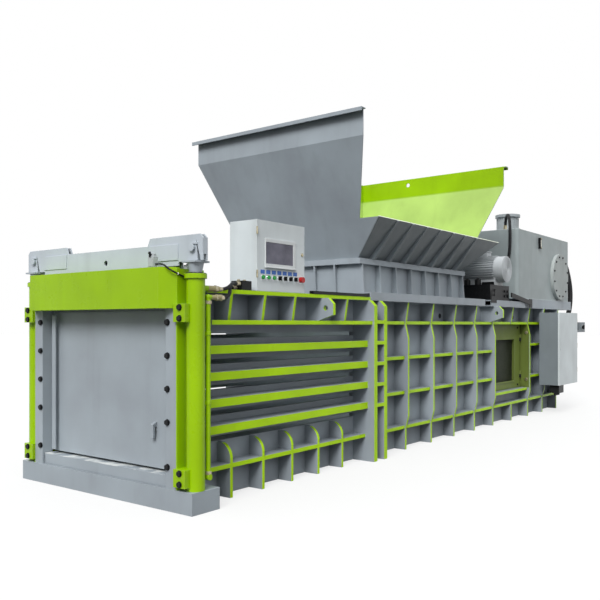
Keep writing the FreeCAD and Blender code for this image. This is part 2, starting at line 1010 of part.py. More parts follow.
skirt_stations = chamber_stations(s.skirt_rib_first, s.skirt_rib_last)
header_stations = chamber_stations(s.header_rib_first, s.header_rib_last)
chamber_floor = group(
    "chamber_floor",
    [
        block(
            "chamber_floor_plate",
            (chamber_front, press_front),
            (-s.clear_half, s.clear_half),
            (floor_under, s.floor_top),
        ),
        *cross_beams("chamber_bearer", skirt_stations, 0, floor_under),
    ],
)
press_floor = group(
    "press_floor",
    [
        block(
            "press_floor_plate",
            (press_front, press_end),
            (-s.clear_half, s.clear_half),
            (floor_under, s.floor_top),
        ),
        *cross_beams("press_bearer", rib_stations, 0, floor_under),
    ],
)
node("floor_plates", group("floor_plates", [chamber_floor, press_floor]))

hopper_front = from_sill(s.hopper_start)
hopper_rear = hopper_front + s.hopper_length
throat_rear = hopper_rear - s.hopper_wall
roof_rib_top = s.press_top - s.channel_wall
chamber_roof = group(
    "chamber_roof",
    [
        block(
            "chamber_roof_plate",
            (chamber_front, press_front),
            (-s.clear_half, s.clear_half),
            (roof_under, roof_top),
        ),
        *cross_beams("chamber_roof_rib", [*header_stations, chamber_end], roof_top, roof_rib_top),
    ],
)
node("chamber_roof", chamber_roof)
rear_roof_stations = [at for at in rib_stations if at.value > throat_rear.value + s.rib_thickness.value]
press_roof = group(
    "press_roof",
    [
        block(
            "press_roof_plate",
            (throat_rear, press_end),
            (-s.clear_half, s.clear_half),
            (roof_under, roof_top),
        ),
        *cross_beams("press_roof_rib", [throat_rear, *rear_roof_stations], roof_top, roof_rib_top),
    ],
)
node("press_roof", press_roof)

# ---- Chamber side: header, skirt and the bars between the wire slots ----------------------
header_skin = block(
    "header_skin",
    (chamber_front, chamber_end),
    (s.clear_half, skin_half),
    (s.header_bottom, s.flange_height),
)
header_rail = block(
    "header_rail",
    (chamber_front, chamber_end),
    (skin_half, s.chamber_rib_half),
    (s.header_bottom, s.header_bottom + s.rail_thickness),
)
header_ledge = block(
    "header_ledge",
    (chamber_front, chamber_end),
    (s.chamber_rib_half, s.header_rail_half),
    (s.header_bottom, s.header_bottom + s.rail_thickness),
)
header_deck = block(
    "header_deck",
    (chamber_front, from_sill(s.channel_start)),
    (s.clear_half, s.header_top_half),
    (s.flange_height, s.deck_height),
)
header_ribs = [
    plate(
        f"header_rib_{number}",
        "YZ",
        [
            (skin_half, s.header_bottom),
            (s.chamber_rib_half, s.header_bottom),
            (s.header_top_half, s.flange_height),
            (skin_half, s.flange_height),
        ],
        (at, at + s.rib_thickness),
    )
    for number, at in enumerate(header_stations)
    if number != 3
]
header = fuse("header_left", [header_skin, header_rail, header_deck, *header_ribs])
node("chamber_headers", both_sides("chamber_headers", group("header_pieces", [header, header_ledge])))

slots = [s.bar_first + s.bar_pitch * (number - 0.5) for number in range(5)]
skirt_top = slots[0] - s.slot_height / 2
skirt_skin = block("skirt_skin", (chamber_front, chamber_end), (s.clear_half, skin_half), (0, skirt_top))
skirt_rail = block(
    "skirt_rail",
    (chamber_front, chamber_end),
    (skin_half, s.chamber_rib_half),
    (s.skirt_rail_height, s.skirt_rail_height + s.rail_thickness),
)
skirt_ribs = [
    plate(
        f"skirt_rib_{number}",
        "YZ",
        [
            (skin_half, 0),
            (s.chamber_rib_half, 0),
            (s.chamber_rib_half, s.skirt_knee_height),
            (skin_half, skirt_top - s.guide_gap),
        ],
        (at, at + s.rib_thickness),
        arcs={2: s.skirt_knee_radius},
    )
    for number, at in enumerate(skirt_stations)
]
skirt = fuse("skirt_left", [skirt_skin, skirt_rail, *skirt_ribs])
node("chamber_skirts", both_sides("chamber_skirts", skirt))

bars = []
for number in range(4):
    middle = s.bar_first + s.bar_pitch * number
    liner = block(
        f"bar_liner_{number}",
        (chamber_front, chamber_end),
        (s.clear_half, skin_half),
        (slots[number] + s.slot_height / 2, slots[number + 1] - s.slot_height / 2),
    )
    bar = block(
        f"bar_{number}",
        (chamber_front, chamber_end),
        (skin_half, s.bar_half),
        (middle - s.bar_height / 2, middle + s.bar_height / 2),
    )
    bars.append(fuse(f"side_bar_{number}", [liner, bar]))
top_liner = block(
    "top_liner",
    (chamber_front, chamber_end),
    (s.clear_half, skin_half),
    (slots[4] + s.slot_height / 2, s.header_bottom),
)
node("chamber_bars", both_sides("chamber_bars", group("bar_set", [*bars, top_liner])))

# ---- Joint between chamber and press body: two flanges with rungs between them ------------
flange_shape = [
    (s.clear_half, 0),
    (s.flange_half, 0),
    (s.flange_half, s.flange_height - s.flange_chamfer),
    (s.flange_half - s.flange_chamfer, s.flange_height),
    (s.clear_half, s.flange_height),
]
joint_pieces = [
    plate("flange_front", "YZ", flange_shape, (chamber_end, flange_end)),
    plate("flange_rear", "YZ", flange_shape, (press_flange, press_front)),
    block("flange_web", (flange_end, press_flange), (s.clear_half, skin_half), (0, s.flange_height)),
]
for number in range(5):
    low = s.rung_first + s.rung_pitch * number
    joint_pieces.append(
        block(
            f"rung_{number}",
            (flange_end, press_flange),
            (s.flange_half - s.rung_depth, s.flange_half),
            (low, low + s.rung_height),
        )
    )
node("joint_flanges", both_sides("joint_flanges", fuse("joint_left", joint_pieces)))

# ---- Lifting lugs -------------------------------------------------------------------------
lug_bottom = s.header_bottom + s.rail_thickness
lug_shape = [
    (skin_half, lug_bottom),
    (s.chamber_rib_half, lug_bottom),
    (s.lug_half, lug_bottom + s.lug_corner),
    (s.lug_half, s.flange_height - s.lug_corner),
    (s.lug_half - s.lug_corner, s.flange_height),
    (skin_half, s.flange_height),
]
lug_hole = [(s.lug_hole_half, s.lug_hole_height, s.lug_hole_radius)]
chamber_lug_front = header_stations[3]
press_lug_front = press_front + s.press_lug_distance
lugs = [
    plate(
        "lug_chamber",
        "YZ",
        lug_shape,
        (chamber_lug_front, chamber_lug_front + s.lug_thickness),
        holes=lug_hole,
    ),
    plate(
        "lug_press", "YZ", lug_shape, (press_lug_front, press_lug_front + s.lug_thickness), holes=lug_hole
    ),
]
node("lifting_lugs", both_sides("lifting_lugs", group("lug_pair", lugs)))

# ---- Press body walls ---------------------------------------------------------------------
rail_lows = [s.press_rail_low + s.press_rail_pitch * number for number in range(4)]
# Behind the hatch the two middle rails stand at other heights.
rear_rail_lows = {1: rail_lows[1] - s.rear_rail_drop, 2: rail_lows[2] + s.rear_rail_rise}
rail_half = s.press_rib_half - s.press_rail_inset
full_rib = [
    (skin_half, 0),
    (s.press_rib_half, 0),
    (s.press_rib_half, s.press_rail_low),
    (s.press_bulge_half, s.press_bulge_low),
    (s.press_bulge_half, s.press_bulge_high),
    (s.press_rib_half, s.header_bottom),
    (s.press_bulge_half, s.press_top),
    (skin_half, s.press_top),
]


def wall_rib(name, at, outline):
    return plate(name, "YZ", outline, (at, at + s.rib_thickness))


def wall_rail(name, x, low):
    return block(name, x, (skin_half, rail_half), (low, low + s.rail_thickness))


def press_wall(name, windowed):
    """One side wall: a skin with upright ribs and level rails, and the hatch opening if windowed."""
    pieces = [block(name + "_skin", (press_front, press_end), (s.clear_half, skin_half), (0, s.press_top))]
    for number, at in enumerate(rib_stations):
        label = f"{name}_rib_{number}"
        if number == 5 and windowed:
            pieces.append(wall_rib(label + "_low", at, [(skin_half, 0), (s.press_rib_half, 0),
                                                        (s.press_rib_half, s.press_rail_low),
                                                        (skin_half, s.press_rail_low)]))
            pieces.append(wall_rib(label + "_high", at, [(skin_half, s.header_bottom),
                                                         (s.press_rib_half, s.header_bottom),
                                                         (s.press_bulge_half, s.press_top),
                                                         (skin_half, s.press_top)]))
        else:
            pieces.append(wall_rib(label, at, full_rib))
    for number, low in enumerate(rail_lows):
        label = f"{name}_rail_{number}"
        if windowed and number in rear_rail_lows:
            pieces.append(wall_rail(label + "_front", (press_front, window_front), low))
            pieces.append(wall_rail(label + "_rear", (window_rear, press_end), rear_rail_lows[number]))
        else:
            pieces.append(wall_rail(label, (press_front, press_end), low))
    wall = fuse(name + "_weldment", pieces)
    if not windowed:
        return wall
    sill_low = hatch_low - s.hatch_clearance - s.rail_thickness
    wall_with_sill = fuse(
        name + "_with_sill", [wall, wall_rail(name + "_sill", (window_front, window_rear), sill_low)]
    )
    opening = block(
        name + "_opening",
        (window_front + s.window_margin, window_rear - s.window_margin),
        (s.clear_half - 1, skin_half + 1),
        (s.window_sill, s.window_sill + s.window_height),
    )
    return cut(name + "_opened", wall_with_sill, [opening])


hatch_low = s.window_sill - s.hatch_overlap
hatch_high = s.window_sill + s.window_height + s.hatch_overlap
right_wall = mirrored("press_wall_right_shape", press_wall("press_wall_operator", True))
opening_front = window_front + s.window_margin
opening_rear = window_rear - s.window_margin
wall_depth = (-s.press_bulge_half, -s.clear_half)
wall_parts = [
    zone("wall_before", right_wall, (press_front, opening_front), wall_depth, (0, s.press_top)),
    zone("wall_behind", right_wall, (opening_rear, press_end), wall_depth, (0, s.press_top)),
    zone("wall_below", right_wall, (opening_front, opening_rear), wall_depth, (0, s.window_sill)),
    zone(
        "wall_above",
        right_wall,
        (opening_front, opening_rear),
        wall_depth,
        (s.window_sill + s.window_height, s.press_top),
    ),
]
node("press_wall_right", group("press_wall_right", wall_parts))
node("press_wall_left", press_wall("press_wall_far", False))

main_at = (0, s.main_axis_height)
rear_plate_front = press_end - s.rear_plate_thickness
rear_plate = cut(
    "rear_plate_shape",
    block(
        "rear_plate_blank",
        (rear_plate_front, press_end),
        (s.running_gap - s.clear_half, s.clear_half - s.running_gap),
        (s.floor_top, roof_under),
    ),
    [cylinder("rear_plate_hole", "X", main_at, s.main_barrel_radius, (rear_plate_front - 1, press_end + 1))],
)
node("rear_plate", rear_plate)

# ---- Deck frame: channels on the walls' top edges, joined by the pump deck ----------------
channel_low = s.press_top
channel_high = channel_low + s.channel_height


def channel(name, x, outer, low, high):
    """A channel that lies on its side, open towards the middle."""
    wall = s.channel_wall
    inner = s.channel_inner_half
    return plate(
        name,
        "YZ",
        [
            (inner, low),
            (outer, low),
            (outer, high),
            (inner, high),
            (inner, high - wall),
            (outer - wall, high - wall),
            (outer - wall, low + wall),
            (inner, low + wall),
        ],
        x,
    )


channel_front_piece = channel(
    "channel_front",
    (from_sill(s.channel_start), from_sill(s.channel_front_end)),
    s.channel_half,
    channel_low,
    channel_high,
)
channel_rear_piece = channel(
    "channel_rear",
    (from_sill(s.channel_rear_start), from_sill(s.channel_rear_end)),
    s.channel_half,
    channel_low,
    channel_high,
)
pump_deck = block(
    "pump_deck",
    (hopper_rear, from_sill(s.channel_rear_end)),
    (-s.channel_inner_half, s.channel_inner_half),
    (channel_high - s.channel_wall, channel_high),
)
channels = group("channels_left", [channel_front_piece, channel_rear_piece])

tank_front = from_sill(s.tank_start)
tank_rear = tank_front + s.tank_length
frame_front = from_sill(s.channel_rear_end)
frame_rear = frame_front + s.tank_frame_length
tank_bottom = channel_low + s.tank_frame_height
tank_rail = channel("tank_rail", (frame_front, frame_rear), s.tank_frame_half, channel_low, tank_bottom)
cross_width = s.channel_wall * 2
cross_stations = (frame_front, (frame_front + frame_rear) / 2, frame_rear - cross_width)
tank_cross = [
    block(
        f"tank_cross_{number}",
        (at, at + cross_width),
        (-s.channel_inner_half, s.channel_inner_half),
        (channel_low, tank_bottom),
    )
    for number, at in enumerate(cross_stations)
]
rails = both_sides("deck_rails", group("rails_left", [channels, tank_rail]))
node("deck_frame", group("deck_frame", [rails, pump_deck, *tank_cross]))

# ---- Inspection hatch ---------------------------------------------------------------------
hatch_front = window_front + s.hatch_margin
hatch_rear = window_rear - s.hatch_margin
hatch_inner = skin_half + s.running_gap
hatch_outer = hatch_inner + s.hatch_thickness
mesh_front = hatch_front + s.mesh_margin
mesh_rear = hatch_rear - s.mesh_rear_margin
mesh_low = hatch_low + s.mesh_low
mesh_high = mesh_low + s.mesh_height
hatch_blank = block(
    "hatch_blank", (hatch_front, hatch_rear), (-hatch_outer, -hatch_inner), (hatch_low, hatch_high)
)
hatch_hole = block(
    "hatch_hole", (mesh_front, mesh_rear), (-hatch_outer - 1, 1 - hatch_inner), (mesh_low, mesh_high)
)
knuckle_radius = s.hinge_pin_radius * 1.8
hinge_spots = [hatch_low + s.hinge_inset, hatch_high - s.hinge_inset - s.hinge_length]
pin_at = (hatch_rear, -hatch_outer)
door_knuckles = []
wall_knuckles = []
pins = []
for number, low in enumerate(hinge_spots):
    middle = low + s.hinge_length / 2
    door_knuckles.append(
        cylinder(
            f"door_knuckle_{number}",
            "Z",
            pin_at,
            knuckle_radius,
            (middle + s.running_gap, low + s.hinge_length),
        )
    )
    pins.append(
        cylinder(f"hatch_pin_{number}", "Z", pin_at, s.hinge_pin_radius, (low, low + s.hinge_length))
    )
    wall_knuckles.append(cylinder(f"wall_knuckle_{number}", "Z", pin_at, knuckle_radius, (low, middle)))
    wall_knuckles.append(
        block(
            f"hinge_leaf_{number}",
            (hatch_rear, window_rear),
            (-hatch_outer - s.hinge_pin_radius, -hatch_outer + s.hinge_pin_radius),
            (low, middle),
        )
    )
pin_bores = [
    cylinder(
        f"pin_bore_{number}", "Z", pin_at, s.hinge_pin_radius + 0.05, (low - 1, low + s.hinge_length + 1)
    )
    for number, low in enumerate(hinge_spots)
]
wall_clear = [
    cylinder(
        f"knuckle_clear_{number}",
        "Z",
        pin_at,
        knuckle_radius + s.running_gap,
        (low - 1, low + s.hinge_length / 2),
    )
    for number, low in enumerate(hinge_spots)
]
hatch = cut(
    "hatch_shape", fuse("hatch_solid", [hatch_blank, *door_knuckles]), [hatch_hole, *pin_bores, *wall_clear]
)
node("inspection_door", hatch)
hinges = [
    fuse(f"hatch_hinge_{number}", [pins[number], wall_knuckles[2 * number], wall_knuckles[2 * number + 1]])
    for number in range(2)
]
node("inspection_hinges", group("inspection_hinges", hinges))

mesh_back = -hatch_inner - s.mesh_thickness
mesh_sheet = block("mesh_sheet", (mesh_front, mesh_rear), (mesh_back, -hatch_inner), (mesh_low, mesh_high))
mesh_cells = []
columns = int((mesh_rear - mesh_front).value // s.mesh_cell.value)
rows = int((mesh_high - mesh_low).value // s.mesh_cell.value)
cell = s.mesh_cell - s.mesh_wire
for column in range(columns):
    for row in range(rows):
        left = mesh_front + s.mesh_wire + s.mesh_cell * column
        low = mesh_low + s.mesh_wire + s.mesh_cell * row
        mesh_cells.append(
            block(
                f"mesh_cell_{column}_{row}",
                (left, left + cell),
                (mesh_back - 1, 1 - hatch_inner),
                (low, low + cell),
            )
        )
mesh_openings = group("mesh_openings", mesh_cells)
mesh = doc.addObject("Part::Cut", "mesh_shape")
mesh.Base = mesh_sheet
mesh.Tool = mesh_openings
node("inspection_mesh", mesh)

# ---- Hopper base: a box on the deck with gussets and front braces, and a rim on top --------
base_low = channel_high
base_high = base_low + s.base_rim_height
rim_high = base_high + s.rim_thickness
base_half = s.channel_inner_half
base_inner = base_half - s.hopper_wall
rim_half = base_half + s.rim_overhang
skirt_low = s.press_top
throat_box = block(
    "throat_box",
    (hopper_front + s.hopper_wall, throat_rear),
    (-base_inner, base_inner),
    (skirt_low - 1, rim_high + 1),
)
base_shell = block(
    "base_shell", (hopper_front, hopper_rear), (-base_half, base_half), (skirt_low, base_high)
)
rim = block(
    "hopper_rim",
    (hopper_front - s.rim_overhang, hopper_rear + s.rim_overhang),
    (-rim_half, rim_half),
    (base_high, rim_high),
)
gusset_shape = [
    (base_half, base_low),
    (base_half + s.gusset_reach, base_low),
    (base_half + s.gusset_lip, base_high),
    (base_half, base_high),
]
gusset_count = 8
gusset_pitch = (s.hopper_length - s.gusset_thickness) / (gusset_count - 1)
gussets = []
for number in range(gusset_count):
    at = hopper_front + gusset_pitch * number
    left = plate(f"gusset_{number}", "YZ", gusset_shape, (at, at + s.gusset_thickness))
    gussets += [left, mirrored(f"gusset_right_{number}", left)]
brace_shape = [
    (hopper_front, base_low),
    (hopper_front - s.brace_foot, base_low),
    (hopper_front - s.gusset_lip, base_high),
    (hopper_front, base_high),
]
for number, middle in enumerate((s.brace_inner, s.brace_outer)):
    thickness = (middle - s.gusset_thickness / 2, middle + s.gusset_thickness / 2)
    brace = plate(f"front_brace_{number}", "XZ", brace_shape, thickness)
    gussets += [brace, mirrored(f"front_brace_right_{number}", brace)]
base = cut("hopper_base_shape", fuse("hopper_base_solid", [base_shell, rim, *gussets]), [throat_box])
base_room = base_half + s.gusset_reach + s.rim_overhang
base_height = (skirt_low, rim_high)
throat_front = hopper_front + s.hopper_wall
base_sides = [
    zone("base_front", base, (hopper_front - base_room, throat_front), (-base_room, base_room), base_height),
    zone("base_rear", base, (throat_rear, hopper_rear + base_room), (-base_room, base_room), base_height),
    zone("base_left", base, (throat_front, throat_rear), (base_inner, base_room), base_height),
    zone("base_right", base, (throat_front, throat_rear), (-base_room, -base_inner), base_height),
]
node("hopper_base", group("hopper_base", base_sides))

# ---- Hopper walls: folded sheets that stand on the rim ------------------------------------
fold_z = rim_high + s.hopper_fold
top_z = rim_high + s.hopper_top
wing_z = rim_high + s.wing_rise
rear_fold_z = rim_high + s.rear_fold
rear_top_z = rim_high + s.rear_top
flare_width = s.flare_half - base_half


def wall_profile(name, foot, lean, direction, fold, top):
    """The section of the front or rear wall: a leaning sheet with an upright strip over the fold."""
    out = foot + lean * direction
    sheet_side = s.hopper_sheet * direction
    return plate(
        name,
        "XZ",
        [
            (foot, rim_high),
            (out, fold),
            (out, top),
            (out + sheet_side, top),
            (out + sheet_side, fold),
            (foot + sheet_side, rim_high),
        ],
        (-s.lip_half, s.lip_half),
    )


straight_at_wing = base_half + flare_width * s.wing_rise / s.hopper_fold
cross_outline = [
    (s.flare_half, rear_top_z + 1),
    (s.flare_half, fold_z),
    (base_half, rim_high),
    (base_half, rim_high - 1),
    (-base_half, rim_high - 1),
    (-base_half, rim_high),
    (-s.wing_half, wing_z),
    (-straight_at_wing, wing_z),
    (-s.flare_half, fold_z),
    (-s.flare_half, rear_top_z + 1),
]
x_room = (from_sill(0), frame_rear)
y_room = (-s.sill_half * 2, s.sill_half * 2)
sheet = s.hopper_sheet
wing_front = hopper_front - s.front_lean * s.wing_rise / s.hopper_fold
wing_rear = hopper_rear + s.rear_lean * s.wing_rise / s.rear_fold
wing_section = plate(
    "wing_section",
    "YZ",
    [
        (-base_half, rim_high),
        (-s.wing_half, wing_z),
        (sheet - s.wing_half, wing_z + sheet),
        (sheet - base_half, rim_high + sheet),
        (sheet - base_half, rim_high),
    ],
    x_room,
)
wing_span = plate(
    "wing_span",
    "XZ",
    [
        (hopper_front, rim_high - 1),
        (wing_front, wing_z + sheet * 2),
        (wing_rear + s.wing_rear_reach, wing_z + sheet * 2),
        (hopper_rear, rim_high - 1),
    ],
    y_room,
)
wing = common("wing_sheet", [wing_section, wing_span])


def lip(name, face, direction, top):
    """A folded edge along a wall's top, open below and at its ends: a flat and a hanging strip."""
    outer = face + s.lip_reach * direction
    inner = outer - sheet * direction
    across = (-s.lip_half, s.lip_half)
    flat = (face, outer) if direction > 0 else (outer, face)
    strip = (inner, outer) if direction > 0 else (outer, inner)
    return [
        block(name + "_flat", flat, across, (top - sheet, top)),
        block(name + "_strip", strip, across, (top - s.lip_height, top)),
    ]


front_wall = common(
    "hopper_front_sheet",
    [
        wall_profile("front_profile", hopper_front, s.front_lean, -1, fold_z, top_z),
        plate("front_face", "YZ", cross_outline, x_room),
    ],
)
front_lip = lip("front_lip", hopper_front - s.front_lean - sheet, -1, top_z)
front_lipped = fuse("hopper_front_lipped", [front_wall, *front_lip])
node("hopper_front_wall", cut("hopper_front_shape", front_lipped, [wing]))
rear_hole = [(s.rear_hole_half, rim_high + s.rear_hole_rise, s.rear_hole_radius)]
rear_wall = common(
    "hopper_rear_sheet",
    [
        wall_profile("rear_profile", hopper_rear, s.rear_lean, 1, rear_fold_z, rear_top_z),
        plate("rear_face", "YZ", cross_outline, x_room, holes=rear_hole),
    ],
)
rear_lip = lip("rear_lip", hopper_rear + s.rear_lean + sheet, 1, rear_top_z)
rear_lipped = fuse("hopper_rear_lipped", [rear_wall, *rear_lip])
node("hopper_rear_wall", cut("hopper_rear_shape", rear_lipped, [wing]))

left_section = plate(
    "left_section",
    "YZ",
    [
        (base_half, rim_high),
        (s.flare_half, fold_z),
        (s.flare_half, rear_top_z),
        (s.flare_half - sheet, rear_top_z),
        (s.flare_half - sheet, fold_z),
        (base_half - sheet, rim_high),
    ],
    x_room,
)
between_walls = [
    (hopper_front, rim_high),
    (hopper_front - s.front_lean, fold_z),
    (hopper_front - s.front_lean, top_z),
    (hopper_rear + s.rear_lean, rear_top_z),
    (hopper_rear + s.rear_lean, rear_fold_z),
    (hopper_rear, rim_high),
]
left_wall = common("hopper_left_shape", [left_section, plate("left_span", "XZ", between_walls, y_room)])
node("hopper_left_wall", left_wall)

wing_rib_shape = [
    (-base_half, rim_high),
    (-s.wing_half, wing_z),
    (-s.wing_half, wing_z - sheet),
    (-base_half - s.wing_rib_depth, rim_high),
]
wing_ribs = []
for number in range(7):
    at = hopper_front + s.wing_rib_first + s.wing_rib_pitch * number
    wing_ribs.append(plate(f"wing_rib_{number}", "YZ", wing_rib_shape, (at, at + s.wing_rib_thickness)))
node("hopper_right_wall", fuse("hopper_right_shape", [wing, *wing_ribs]))

# ---- Oil tank -----------------------------------------------------------------------------
tank_high = tank_bottom + s.tank_height
tank_shell = block(
    "tank_shell", (tank_front, tank_rear), (-s.tank_half, s.tank_half), (tank_bottom, tank_high)
)
tank_wall = s.tank_wall
tank_room = block(
    "tank_room",
    (tank_front + tank_wall, tank_rear - tank_wall),
    (tank_wall - s.tank_half, s.tank_half - tank_wall),
    (tank_bottom + tank_wall, tank_high - tank_wall),
)
manhole_x = tank_rear - s.manhole_inset
manhole_z = tank_bottom + s.manhole_height
manhole_at = (manhole_x, manhole_z)
manhole_opening = cylinder(
    "manhole_opening",
    "Y",
    manhole_at,
    s.manhole_radius - s.tank_wall * 6,
    (-s.tank_half - 1, tank_wall - s.tank_half + 1),
)
breather_at = (tank_front + s.breather_distance, -s.breather_half)
breather_top = tank_high + s.breather_height
breather = cylinder("breather_stub", "Z", breather_at, s.breather_radius, (tank_high, breather_top))
node(
    "oil_tank",
    cut("oil_tank_shape", fuse("tank_solid", [tank_shell, breather]), [tank_room, manhole_opening]),
)
cover_outer = -s.tank_half - s.manhole_thickness
manhole_cover = cylinder("manhole_disc", "Y", manhole_at, s.manhole_radius, (cover_outer, -s.tank_half))
node("manhole_cover", manhole_cover)
manhole_bolts = []
for number in range(12):
    angle = math.radians(30 * number + 15)
    manhole_bolts.append(
        cylinder(
            f"manhole_bolt_{number}",
            "Y",
            (
                manhole_x + s.manhole_bolt_circle * math.cos(angle),
                manhole_z + s.manhole_bolt_circle * math.sin(angle),
            ),
            s.manhole_bolt_radius,
            (cover_outer - s.manhole_bolt_height, cover_outer),
        )
    )
node("manhole_bolts", group("manhole_bolts", manhole_bolts))

gauge_x = tank_front + s.gauge_distance
gauge_low = tank_bottom + s.gauge_low
gauge = block(
    "level_gauge_case",
    (gauge_x - s.gauge_width / 2, gauge_x + s.gauge_width / 2),
    (-s.tank_half - s.gauge_depth, -s.tank_half),
    (gauge_low, gauge_low + s.gauge_height),
)
node("level_gauge", gauge)

filter_at = (tank_front + s.filter_distance, -s.filter_half)
filter_high = tank_high + s.filter_height
filter_port_x = filter_at[0] + s.filter_radius + s.hose_port_reach
filter_port_z = tank_high + s.filter_port_height
return_filter = fuse(
    "return_filter_shape",
    [
        cylinder("filter_bowl", "Z", filter_at, s.filter_radius, (tank_high, filter_high)),
        cylinder(
            "filter_foot", "Z", filter_at, s.filter_cap_radius, (tank_high, tank_high + s.tank_wall * 2)
        ),
        cylinder(
            "filter_cap",
            "Z",
            filter_at,
            s.filter_cap_radius,
            (filter_high, filter_high + s.filter_cap_height),
        ),
        cylinder(
            "filter_port",
            "X",
            (-s.filter_half, filter_port_z),
            s.hose_port_radius,
            (filter_at[0], filter_port_x),
        ),
    ],
)
node("return_filter", return_filter)

# ---- Pump motor on its valve block --------------------------------------------------------
motor_x = from_sill(s.motor_distance)
motor_at = (motor_x, s.motor_height)
motor_outer = -s.motor_inner_half - s.motor_length
valve_high = channel_high + s.valve_height
valve = block(
    "valve_body",
    (motor_x - s.valve_length / 2, motor_x + s.valve_length / 2),
    (-s.valve_inner_half - s.valve_width, -s.valve_inner_half),
    (channel_high, valve_high),
)
coils = [
    cylinder(
        f"valve_coil_{number}",
        "Z",
        (
            motor_x - s.valve_length / 2 + s.valve_coil_radius * 1.4,
            -s.valve_inner_half - s.valve_coil_pitch * (number + 0.6),
        ),
        s.valve_coil_radius,
        (valve_high, valve_high + s.valve_coil_height),
    )
    for number in range(3)
]
valve_port_z = channel_high + s.valve_port_height
valve_rear = motor_x + s.valve_length / 2
valve_port = cylinder(
    "valve_port",
    "X",
    (-s.breather_half, valve_port_z),
    s.breather_radius,
    (valve_rear - s.breather_height, valve_rear + s.breather_height),
)
node("valve_block", fuse("valve_block_shape", [valve, valve_port, *coils]))
motor = fuse(
    "pump_motor_shape",
    [
        cylinder("motor_body", "Y", motor_at, s.motor_radius, (motor_outer, -s.motor_inner_half)),
        cylinder(
            "motor_cowl",
            "Y",
            motor_at,
            s.motor_cowl_radius,
            (motor_outer, motor_outer + s.motor_cowl_length),
        ),
        cylinder(
            "motor_flange",
            "Y",
            motor_at,
            s.motor_flange_radius,
            (-s.motor_inner_half, s.motor_flange_thickness - s.motor_inner_half),
        ),
        cylinder(
            "pump_body",
            "Y",
            motor_at,
            s.pump_radius,
            (-s.motor_inner_half, s.pump_length - s.motor_inner_half),
        ),
        block(
            "motor_foot",
            (motor_x - s.motor_foot_width / 2, motor_x + s.motor_foot_width / 2),
            (motor_outer + s.motor_cowl_length, -s.motor_inner_half - s.motor_flange_thickness),
            (valve_high, s.motor_height),
        ),
    ],
)
node("pump_motor", motor)

# ---- Control cabinet, its door and what is on the door ------------------------------------
panel_front_x = from_sill(s.panel_start)
panel_rear_x = panel_front_x + s.panel_width
panel_back_y = -s.panel_half
panel_face_y = panel_back_y - s.panel_depth
panel_low = s.deck_height + s.panel_foot
panel_high = panel_low + s.panel_height
wall = s.panel_wall
cabinet_mouth_y = panel_face_y + s.panel_door
cabinet_shell = block(
    "panel_shell", (panel_front_x, panel_rear_x), (cabinet_mouth_y, panel_back_y), (panel_low, panel_high)
)
cabinet_room = block(
    "panel_room",
    (panel_front_x + wall, panel_rear_x - wall),
    (cabinet_mouth_y - 1, panel_back_y - wall),
    (panel_low + wall, panel_high - wall),
)
cabinet_foot = block(
    "panel_foot_block",
    (panel_front_x + wall, panel_rear_x - wall),
    (-s.header_top_half + wall, -s.clear_half - wall),
    (s.deck_height, panel_low),
)
hood = block(
    "panel_hood",
    (panel_rear_x, panel_rear_x + s.panel_hood_reach),
    (cabinet_mouth_y + s.panel_depth / 4, panel_back_y),
    (panel_low + wall * 2, panel_high - s.panel_hood_reach),
)
node(
    "control_cabinet",
    cut("control_cabinet_shape", fuse("panel_solid", [cabinet_shell, cabinet_foot, hood]), [cabinet_room]),
)

door_back_y = cabinet_mouth_y - s.running_gap
control_z = panel_low + s.control_height
control_xs = [panel_front_x + s.control_first + s.control_pitch * number for number in range(8)]
screen_x = panel_front_x + s.screen_start
screen_z = panel_low + s.screen_low
control_door_slab = block(
    "control_door_slab", (panel_front_x, panel_rear_x), (panel_face_y, door_back_y), (panel_low, panel_high)
)
screen_hole = block(
    "screen_hole",
    (screen_x, screen_x + s.screen_width),
    (panel_face_y - 1, door_back_y + 1),
    (screen_z, screen_z + s.screen_height),
)
stem_holes = [
    cylinder(
        f"stem_hole_{number}",
        "Y",
        (at, control_z),
        s.control_stem_radius + s.running_gap,
        (panel_face_y - 1, door_back_y + 1),
    )
    for number, at in enumerate(control_xs)
]
node("control_door", cut("control_door_shape", control_door_slab, [screen_hole, *stem_holes]))
screen_rim = s.screen_proud * 2
screen = fuse(
    "touch_screen_shape",
    [
        block(
            "screen_case",
            (screen_x + s.running_gap, screen_x + s.screen_width - s.running_gap),
            (panel_face_y, panel_face_y + s.screen_depth),
            (screen_z + s.running_gap, screen_z + s.screen_height - s.running_gap),
        ),
        block(
            "screen_bezel",
            (screen_x - screen_rim, screen_x + s.screen_width + screen_rim),
            (panel_face_y - s.screen_proud, panel_face_y),
            (screen_z - screen_rim, screen_z + s.screen_height + screen_rim),
        ),
    ],
)
node("touch_screen", screen)


def control(name, at, head_radius, head_height, travel):
    """A control in the door: its head, a stem through the door and a contact block behind."""
    head_low = panel_face_y - travel - s.running_gap
    stem_end = door_back_y + s.control_stem_length
    return [
        cylinder(name + "_head", "Y", (at, control_z), head_radius, (head_low - head_height, head_low)),
        cylinder(name + "_stem", "Y", (at, control_z), s.control_stem_radius, (head_low, stem_end)),
        cylinder(
            name + "_contacts",
            "Y",
            (at, control_z),
            s.control_collar_radius,
            (door_back_y + s.running_gap, stem_end),
        ),
    ]


